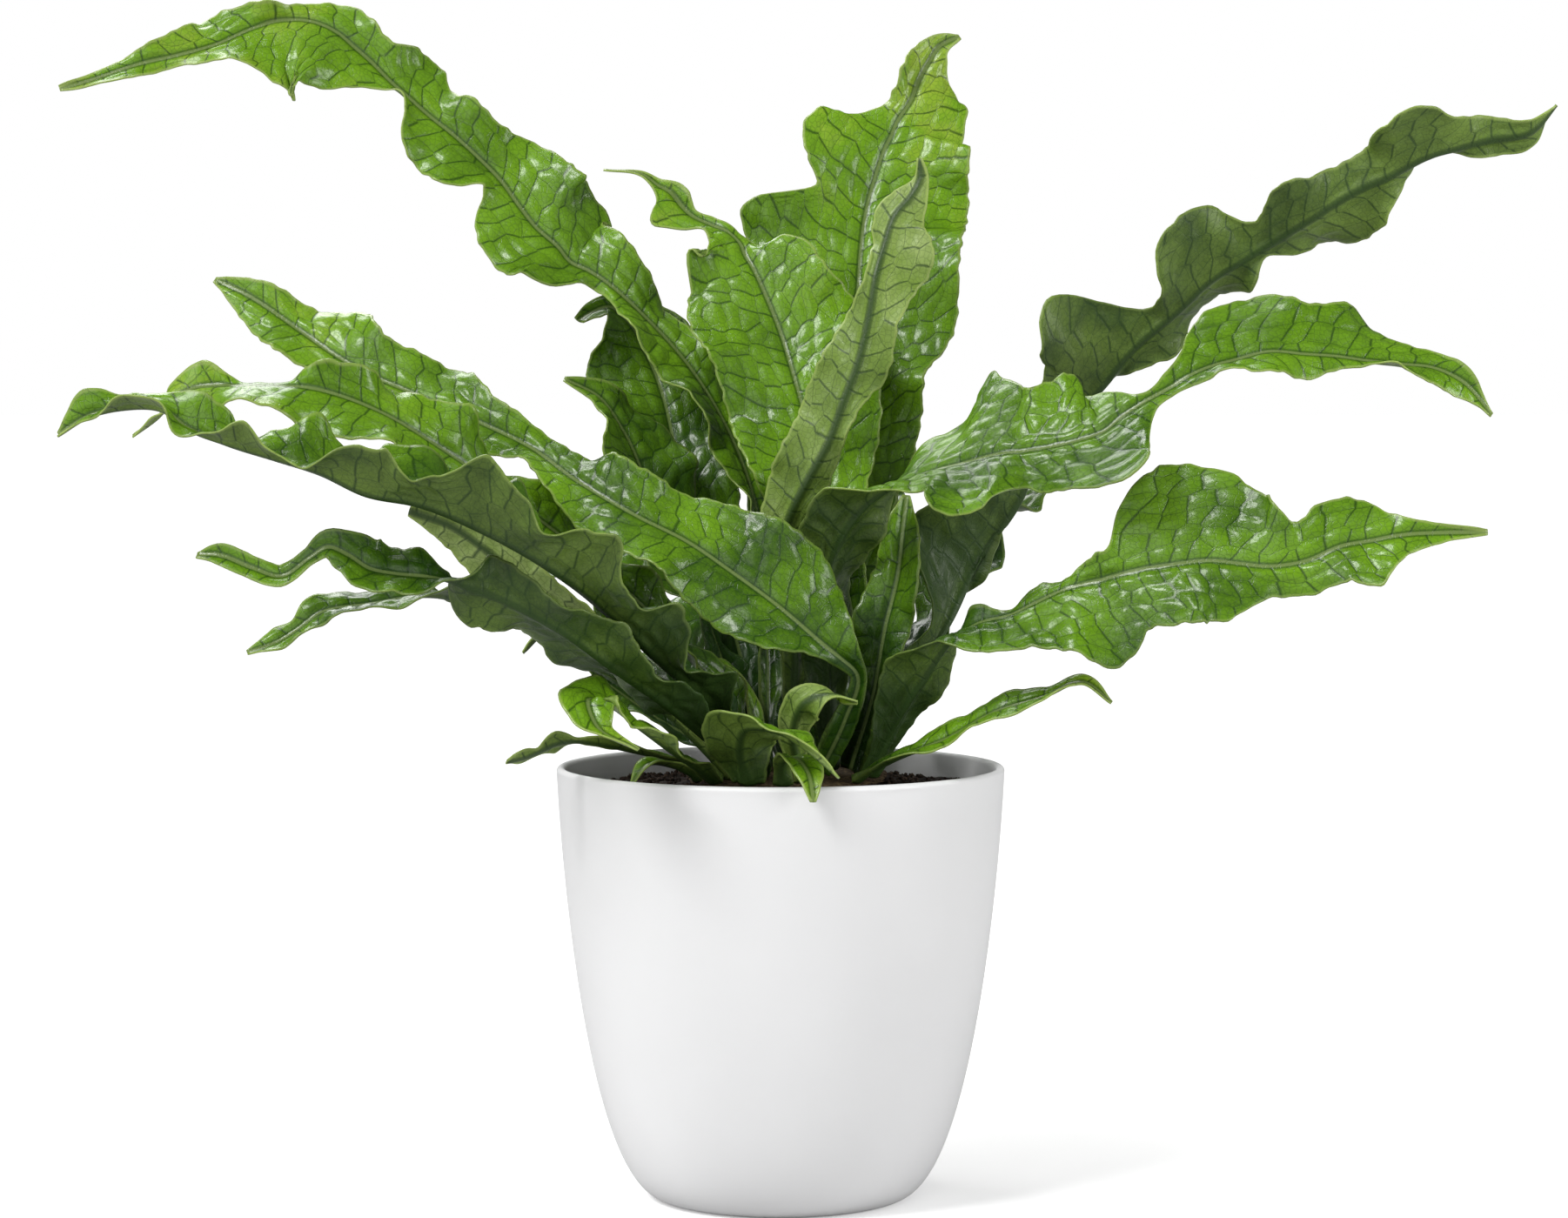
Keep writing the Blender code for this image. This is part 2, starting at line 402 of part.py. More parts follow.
def make_frond(name, frond, surface):
    """A frond: a grid laid along the midrib, then thickened, most at the stalk and midrib."""
    shape = FrondShape(frond)
    rows = max(6, round(shape.length / SEGMENT))
    bm = bmesh.new()
    bmesh.ops.create_grid(bm, x_segments=rows, y_segments=ACROSS, size=1.0)
    mesh = bpy.data.meshes.new(name)
    thickness = {}
    for vert in bm.verts:
        share, across = (vert.co.x + 1) / 2, vert.co.y
        stalk = STALK_THICKNESS * (1 - share / STALK_SHARE)
        rib = RIB_THICKNESS * (1 - abs(across)) * (1 - share)
        thickness[vert.index] = max(stalk, rib, BLADE_THICKNESS) / STALK_THICKNESS
        vert.co = shape.point(share * shape.length, across) * MM
    bm.to_mesh(mesh)
    bm.free()
    mesh.shade_smooth()
    mesh.materials.append(surface)
    obj = bpy.data.objects.new(name, mesh)
    bpy.context.scene.collection.objects.link(obj)
    group = obj.vertex_groups.new(name="thickness")
    for index, weight in thickness.items():
        group.add([index], weight, "REPLACE")
    solidify = obj.modifiers.new("thickness", "SOLIDIFY")
    solidify.thickness = STALK_THICKNESS * MM
    solidify.offset = -1
    solidify.vertex_group = group.name
    return obj


def main():
    clear_scene()
    ceramic_white = material("white_planter", (0.82, 0.82, 0.83), 0.45)
    make_pot(ceramic_white)
    make_soil(material("dark_potting_soil", (0.018, 0.012, 0.008), 0.95))
    make_rhizome(material("brown_rhizome", (0.06, 0.045, 0.02), 0.8))
    leaf = material("frond_green", (0.07, 0.19, 0.025), 0.35)
    for name, frond in FRONDS.items():
        make_frond(name, frond, leaf)


main()
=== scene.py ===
# %% [markdown]
# # A potted crocodile fern
# This lesson finishes a potted fern whose solids are already built and packed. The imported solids
# are the frame: they fix every place and size. Here each solid gets its real surface: a fine
# moulded planter, crumbly soil, and fronds with blistered cells, sunken veins and thin margins.

# %% Load the frame
import json
import math
import random
from collections import namedtuple

import bmesh
import bpy
import numpy as np
from mathutils import Matrix, Vector, noise


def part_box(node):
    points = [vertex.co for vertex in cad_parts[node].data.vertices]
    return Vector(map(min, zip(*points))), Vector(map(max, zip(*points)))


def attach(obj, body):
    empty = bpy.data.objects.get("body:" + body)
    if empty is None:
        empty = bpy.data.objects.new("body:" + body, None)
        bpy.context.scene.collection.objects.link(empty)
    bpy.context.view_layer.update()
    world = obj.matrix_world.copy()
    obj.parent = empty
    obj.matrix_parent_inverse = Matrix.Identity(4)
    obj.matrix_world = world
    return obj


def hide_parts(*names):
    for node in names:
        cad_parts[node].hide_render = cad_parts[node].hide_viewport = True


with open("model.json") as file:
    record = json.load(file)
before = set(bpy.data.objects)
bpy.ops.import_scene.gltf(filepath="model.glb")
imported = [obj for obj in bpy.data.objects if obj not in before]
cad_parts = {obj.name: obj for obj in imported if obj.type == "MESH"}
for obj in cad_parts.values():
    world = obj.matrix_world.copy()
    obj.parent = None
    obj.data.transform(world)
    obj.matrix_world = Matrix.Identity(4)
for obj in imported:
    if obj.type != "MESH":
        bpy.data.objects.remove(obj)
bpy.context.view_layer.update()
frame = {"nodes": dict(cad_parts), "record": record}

MM = 0.001
print("packed nodes:", len(frame["nodes"]))

# %% [markdown]
# ## Small helpers
# Node trees take many lines to wire by hand, so a few helpers make a node, wire its inputs and
# return the output. The same helpers work in a shader tree and in a geometry tree, which lets one
# function draw the vein pattern in both.

# %% Helpers for node trees
def node(tree, kind, inputs=None, output=0, **settings):
    """Adds a node, sets its properties, fills its inputs with links or values, returns an output."""
    made = tree.nodes.new(kind)
    for key, value in settings.items():
        setattr(made, key, value)
    for key, value in (inputs or {}).items():
        if isinstance(value, bpy.types.NodeSocket):
            tree.links.new(value, made.inputs[key])
        else:
            made.inputs[key].default_value = value
    return made.outputs[output]


def calc(tree, operation, *values, clamp=False):
    """A Math node: its operation and one to three links or numbers."""
    return node(tree, "ShaderNodeMath", dict(enumerate(values)), operation=operation, use_clamp=clamp)


def ramp(tree, value, low, high, start=0.0, end=1.0):
    """Maps a value from low..high to start..end with a smooth step, held at both ends."""
    return node(
        tree, "ShaderNodeMapRange",
        {"Value": value, "From Min": low, "From Max": high, "To Min": start, "To Max": end},
        interpolation_type="SMOOTHSTEP")


def mix(tree, share, first, second, blend="MIX"):
    """Mixes two colours. A colour is a link or a (red, green, blue) triple."""
    made = tree.nodes.new("ShaderNodeMix")
    made.data_type = "RGBA"
    made.blend_type = blend
    made.clamp_factor = True
    for index, value in ((0, share), (6, first), (7, second)):
        if isinstance(value, bpy.types.NodeSocket):
            tree.links.new(value, made.inputs[index])
        else:
            made.inputs[index].default_value = value if index == 0 else (*value, 1.0)
    return made.outputs[2]

# %% [markdown]
# Every piece goes through the same steps: a bmesh becomes an object at the origin, its modifiers
# are made part of its mesh, and the imported solid it stands for is hidden. Three helpers keep
# those steps in one place.

# %% Helpers for pieces
def finish_piece(piece, nodes, body="root"):
    """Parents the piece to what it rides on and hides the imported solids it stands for."""
    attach(piece, body)
    if nodes:
        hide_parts(*nodes)
    return piece


def add_mesh(name, bm, *materials):
    """Puts a bmesh into a new smooth-shaded object at the origin."""
    mesh = bpy.data.meshes.new(name)
    bm.to_mesh(mesh)
    bm.free()
    mesh.shade_smooth()
    for material in materials:
        mesh.materials.append(material)
    piece = bpy.data.objects.new(name, mesh)
    bpy.context.scene.collection.objects.link(piece)
    return piece


def baked(piece):
    """Replaces the object's mesh by what its modifiers make of it, and removes the modifiers."""
    graph = bpy.context.evaluated_depsgraph_get()
    mesh = bpy.data.meshes.new_from_object(piece.evaluated_get(graph), depsgraph=graph)
    piece.modifiers.clear()
    piece.data = mesh
    mesh.name = piece.name
    return piece

# %% [markdown]
# ## The vein pattern
# A crocodile fern is named for its blade: side veins leave the midrib, lean towards the tip and
# zigzag, and cross veins join them into cells that bulge up between the sunken veins. The
# pattern is drawn in the blade's own flat coordinates, the distance along the midrib and the
# distance across from it. A Voronoi grid with a modest jitter gives cells in rows, and the
# distance to the nearest cell edge gives both the bulge and the vein. The colour and the relief
# must agree, so one function builds the same nodes for the shader and for the geometry.

# %% Vein pattern, for a shader tree or a geometry tree
# Steps and distances are in metres. The lean, the jitter and the shift are shares of a step.
VEIN_STEP = 0.0088
CELL_STEP = 0.0074
VEIN_LEAN = 0.45
CELL_JITTER = 0.62
DRIFT = 0.009
DRIFT_SCALE = 45.0
HALVES_SHIFT = 0.22
OTHER_HALF = 40.0


def vein_pattern(tree, along, across):
    """Returns distance to the nearest cell edge, side-vein mask and distance to the midrib."""
    side = calc(tree, "SIGN", across)
    away = calc(tree, "ABSOLUTE", across)
    drift = node(tree, "ShaderNodeTexNoise", {
        "Vector": node(tree, "ShaderNodeCombineXYZ", {"X": along, "Y": across}),
        "Scale": DRIFT_SCALE, "Detail": 1.0}, output=1)
    drift_x, drift_y = [
        calc(tree, "MULTIPLY", calc(tree, "SUBTRACT", node(
            tree, "ShaderNodeSeparateXYZ", {0: drift}, output=axis), 0.5), DRIFT)
        for axis in (0, 1)
    ]
    leaning = calc(tree, "SUBTRACT", along, calc(tree, "MULTIPLY", away, VEIN_LEAN))
    row = calc(tree, "DIVIDE", calc(tree, "ADD", leaning, drift_x), VEIN_STEP)
    row = calc(tree, "ADD", row, calc(tree, "MULTIPLY", side, HALVES_SHIFT))
    column = calc(tree, "DIVIDE", calc(tree, "ADD", away, drift_y), CELL_STEP)
    column = calc(tree, "ADD", column, calc(tree, "MULTIPLY", side, OTHER_HALF))
    place = node(tree, "ShaderNodeCombineXYZ", {"X": row, "Y": column})
    cells = {"Vector": place, "Scale": 1.0, "Randomness": CELL_JITTER}
    edge = node(tree, "ShaderNodeTexVoronoi", cells, voronoi_dimensions="2D", feature="DISTANCE_TO_EDGE")
    nearest = node(tree, "ShaderNodeTexVoronoi", cells, output=2, voronoi_dimensions="2D", feature="F1")
    second = node(tree, "ShaderNodeTexVoronoi", cells, output=2, voronoi_dimensions="2D", feature="F2")
    apart = node(tree, "ShaderNodeVectorMath", {0: nearest, 1: second}, operation="SUBTRACT")
    apart_x, apart_y = [
        calc(tree, "ABSOLUTE", node(tree, "ShaderNodeSeparateXYZ", {0: apart}, output=axis))
        for axis in (0, 1)
    ]
    side_vein = ramp(tree, calc(tree, "SUBTRACT", apart_x, apart_y), -0.1, 0.3)
    return edge, side_vein, away


print("cells about", round(VEIN_STEP / MM, 1), "by", round(CELL_STEP / MM, 1), "mm")

# %% [markdown]
# ## Leaf finishes
# The upper face is a glossy mid green with pale cells and dark, sunken veins. The underside is
# duller and greyer, and its veins stand out. The margin is a thin, thick-skinned yellow-green
# line. All three read the same vein group, so that a vein is in one place on both faces. Each
# vertex also carries how bright the frond is there and how far the margin is.

# %% The vein group for shaders
# Widths of veins are shares of a cell, and the midrib's are metres from its middle.
CROSS_VEIN_WIDTH = 0.030
SIDE_VEIN_WIDTH = 0.070
CROSS_VEIN_STRENGTH = 0.6
FINE_VEIN_SCALE = 420.0
FINE_VEIN_WIDTH = 0.12
MIDRIB_CORE = 0.0003
MIDRIB_EDGE = 0.0009
MIDRIB_OUTSIDE = 0.0019


def make_vein_group():
    """Node group: from the blade's flat coordinates to edge, vein and midrib masks."""
    group = bpy.data.node_groups.new("leaf_veins", "ShaderNodeTree")
    for name in ("Vein", "Fine Vein", "Midrib", "Midrib Edge", "Bulge"):
        group.interface.new_socket(name, in_out="OUTPUT", socket_type="NodeSocketFloat")
    tree = group
    place = node(tree, "ShaderNodeUVMap", uv_map="blade")
    along = node(tree, "ShaderNodeSeparateXYZ", {0: place}, output=0)
    across = node(tree, "ShaderNodeSeparateXYZ", {0: place}, output=1)
    edge, side_vein, away = vein_pattern(tree, along, across)
    thick = ramp(tree, side_vein, 0.0, 1.0, CROSS_VEIN_WIDTH, SIDE_VEIN_WIDTH)
    vein = calc(tree, "SUBTRACT", 1.0, calc(tree, "DIVIDE", edge, thick, clamp=True), clamp=True)
    strength = ramp(tree, side_vein, 0.0, 1.0, CROSS_VEIN_STRENGTH, 1.0)
    vein = calc(tree, "MULTIPLY", calc(tree, "POWER", vein, 0.7), strength)
    fine_place = node(
        tree, "ShaderNodeVectorMath", {0: place, 1: (1.0, 1.15, 1.0)}, operation="MULTIPLY")
    fine = node(
        tree, "ShaderNodeTexVoronoi",
        {"Vector": fine_place, "Scale": FINE_VEIN_SCALE, "Randomness": 0.9},
        voronoi_dimensions="2D", feature="DISTANCE_TO_EDGE")
    fine = calc(tree, "SUBTRACT", 1.0, ramp(tree, fine, 0.0, FINE_VEIN_WIDTH))
    midrib = calc(tree, "SUBTRACT", 1.0, ramp(tree, away, MIDRIB_CORE, MIDRIB_EDGE))
    midrib_edge = calc(tree, "SUBTRACT", 1.0, ramp(tree, away, MIDRIB_EDGE, MIDRIB_OUTSIDE))
    bulge = ramp(tree, edge, 0.0, 0.34)
    out = tree.nodes.new("NodeGroupOutput")
    for name, value in (("Vein", vein), ("Fine Vein", fine), ("Midrib", midrib),
                        ("Midrib Edge", midrib_edge), ("Bulge", bulge)):
        tree.links.new(value, out.inputs[name])
    return group


VEINS = make_vein_group()
print("vein outputs:", [item.name for item in VEINS.interface.items_tree])

# %% [markdown]
# A leaf's green isn't one colour. It is yellower where the blade is young or thin, and mottled
# over a few centimetres. Towards the stalk it goes bluer and darker: partly the stalk's own deep
# green, partly painted shade of the crowded heart of the plant. A second group works that out
# once, with small brown blemishes, for the three materials to share.

# %% The leaf tone group
# Near-black green: partly the stalks' own dark green, partly painted shade in the heart of the plant.
STALK_DARK_AND_SHADE = (0.004, 0.010, 0.002)
MOTTLE = 0.22
SPECKLE = 0.06
BLEMISH_FROM = 0.735
BLEMISH_FULL = 0.765


def make_tone_group():
    """Node group: mixes a deep and a bright green by the frond's tone, and adds mottling."""
    group = bpy.data.node_groups.new("leaf_tone", "ShaderNodeTree")
    for name in ("Deep", "Bright", "Pale"):
        group.interface.new_socket(name, in_out="INPUT", socket_type="NodeSocketColor")
    group.interface.new_socket("Color", in_out="OUTPUT", socket_type="NodeSocketColor")
    group.interface.new_socket("Blemish", in_out="OUTPUT", socket_type="NodeSocketFloat")
    tree = group
    given = tree.nodes.new("NodeGroupInput")
    tone = node(tree, "ShaderNodeAttribute", output=2, attribute_name="tone")
    place = node(tree, "ShaderNodeTexCoord", output=3)
    cloud = node(tree, "ShaderNodeTexNoise", {"Vector": place, "Scale": 38.0, "Detail": 3.0})
    cloud = ramp(tree, cloud, 0.3, 0.7, -MOTTLE, MOTTLE)
    speckle = node(tree, "ShaderNodeTexNoise", {"Vector": place, "Scale": 900.0, "Detail": 2.0})
    speckle = ramp(tree, speckle, 0.3, 0.7, -SPECKLE, SPECKLE)
    share = calc(tree, "ADD", calc(tree, "ADD", tone, cloud), speckle)
    colour = mix(tree, ramp(tree, share, 0.0, 1.0), given.outputs["Deep"], given.outputs["Bright"])
    colour = mix(tree, ramp(tree, share, 0.85, 1.35), colour, given.outputs["Pale"])
    # Painted shade: where the tone falls below zero, near the stalks in the heart, the colour sinks to
    # near black; the stalks' own dark green is part of it.
    colour = mix(tree, ramp(tree, share, -0.05, -0.45), colour, STALK_DARK_AND_SHADE)
    spot = node(tree, "ShaderNodeTexNoise", {
        "Vector": place, "Scale": 21.0, "Detail": 5.0, "Roughness": 0.7})
    blemish = ramp(tree, spot, BLEMISH_FROM, BLEMISH_FULL)
    out = tree.nodes.new("NodeGroupOutput")
    tree.links.new(colour, out.inputs["Color"])
    tree.links.new(blemish, out.inputs["Blemish"])
    return group


TONE = make_tone_group()
print("tone outputs:", [item.name for item in TONE.interface.items_tree if item.in_out == "OUTPUT"])

# %% [markdown]
# The Principled shader stays in each material. A waxy coat over a fairly rough skin gives the
# bright, broken highlights of a healthy fern frond, and the coat is thinner underneath. The bump
# sinks the veins and adds fine pores, which break each highlight into specks.

# %% Leaf materials
COAT_ROUGHNESS = 0.13
LEAF_SPECULAR = 0.30
RIM_GREEN = (0.30, 0.40, 0.10)
BLEMISH_BROWN = (0.09, 0.035, 0.012)
VEIN_DEPTH = 0.8
FINE_VEIN_DEPTH = 0.35
PORE_DEPTH = 0.55


def group_node(tree, group, inputs=None):
    """Places a shader group, fills its inputs and returns the node."""
    made = tree.nodes.new("ShaderNodeGroup")
    made.node_tree = group
    for name, value in (inputs or {}).items():
        made.inputs[name].default_value = (*value, 1.0)
    return made


def leaf_material(name, deep, bright, pale, vein, midrib, rough, coat, fine_share):
    """One face of the blade: colours, roughness and a waxy coat."""
    made = bpy.data.materials.new(name)
    made.use_nodes = True
    tree = made.node_tree
    shader = tree.nodes["Principled BSDF"]
    shader.inputs["Coat Weight"].default_value = coat
    shader.inputs["Coat Roughness"].default_value = COAT_ROUGHNESS
    shader.inputs["Specular IOR Level"].default_value = LEAF_SPECULAR
    veins = group_node(tree, VEINS).outputs
    tone = group_node(tree, TONE, {"Deep": deep, "Bright": bright, "Pale": pale}).outputs
    grown = node(tree, "ShaderNodeAttribute", output=2, attribute_name="tone")
    margin = node(tree, "ShaderNodeAttribute", output=2, attribute_name="margin")
    bulge = calc(tree, "MULTIPLY", veins["Bulge"], calc(tree, "MULTIPLY", grown, 0.3, clamp=True))
    colour = mix(tree, bulge, tone["Color"], bright)
    colour = mix(tree, calc(tree, "MULTIPLY", veins["Fine Vein"], fine_share), colour, vein)
    colour = mix(tree, calc(tree, "MULTIPLY", veins["Vein"], 0.85), colour, vein)
    colour = mix(tree, calc(tree, "MULTIPLY", veins["Midrib Edge"], 0.7), colour, vein)
    colour = mix(tree, calc(tree, "MULTIPLY", veins["Midrib"], 0.8), colour, midrib)
    rim = calc(tree, "SUBTRACT", 1.0, ramp(tree, margin, 0.0005, 0.0013))
    rim = calc(tree, "MULTIPLY", rim, calc(tree, "MULTIPLY", grown, 0.75, clamp=True))
    colour = mix(tree, rim, colour, RIM_GREEN)
    colour = mix(tree, tone["Blemish"], colour, BLEMISH_BROWN)
    tree.links.new(colour, shader.inputs["Base Color"])
    smudge = node(tree, "ShaderNodeTexNoise", {
        "Vector": node(tree, "ShaderNodeTexCoord", output=3), "Scale": 60.0, "Detail": 4.0})
    tree.links.new(ramp(tree, smudge, 0.3, 0.7, rough - 0.07, rough + 0.1), shader.inputs["Roughness"])
    grain = calc(tree, "MULTIPLY", veins["Fine Vein"], -FINE_VEIN_DEPTH)
    height = calc(tree, "ADD", grain, calc(tree, "MULTIPLY", veins["Vein"], -VEIN_DEPTH))
    pores = node(tree, "ShaderNodeTexNoise", {
        "Vector": node(tree, "ShaderNodeTexCoord", output=3), "Scale": 2200.0, "Detail": 2.0})
    height = calc(tree, "ADD", height, calc(tree, "MULTIPLY", pores, PORE_DEPTH))
    bump = node(tree, "ShaderNodeBump", {"Height": height, "Strength": 0.5, "Distance": 0.0003})
    tree.links.new(bump, shader.inputs["Normal"])
    return made


UPPER = leaf_material(
    "frond_upper_face", deep=(0.014, 0.052, 0.003), bright=(0.150, 0.320, 0.010),
    pale=(0.300, 0.430, 0.040), vein=(0.012, 0.045, 0.003), midrib=(0.170, 0.240, 0.070),
    rough=0.29, coat=0.25, fine_share=0.34,
)
UNDER = leaf_material(
    "frond_underside", deep=(0.028, 0.062, 0.010), bright=(0.165, 0.260, 0.040),
    pale=(0.300, 0.400, 0.120), vein=(0.018, 0.048, 0.007), midrib=(0.030, 0.065, 0.012),
    rough=0.46, coat=0.06, fine_share=0.30,
)
MARGIN = leaf_material(
    "frond_margin", deep=(0.022, 0.055, 0.006), bright=(0.270, 0.400, 0.060),
    pale=(0.380, 0.480, 0.120), vein=(0.100, 0.170, 0.020), midrib=(0.170, 0.240, 0.070),
    rough=0.42, coat=0.2, fine_share=0.05,
)
print("leaf materials:", UPPER.name, UNDER.name, MARGIN.name)

# %% [markdown]
# ## The fronds' routes
# Every frond follows a midrib given as a list of places, from its stalk's foot to its tip.
# The rows are the same as in the solid model, so each fine frond lies where its solid lies. A row
# gives the place, the blade's width on either side of the midrib, and how far the blade has turned.

# %% Frond rows
# facing: the way the upper face looks before it is turned, "front" (-Y) or "up" (+Z)
# fold: how far each half of the blade rises from flat, in degrees
# ruffle, wave: height and length of the margin's waves, mm
# spine: (x, y, height over the stalk's foot, width, other width, turn), mm and degrees
Frond = namedtuple("Frond", "facing fold ruffle wave spine")
STALK_FOOT = 178.0

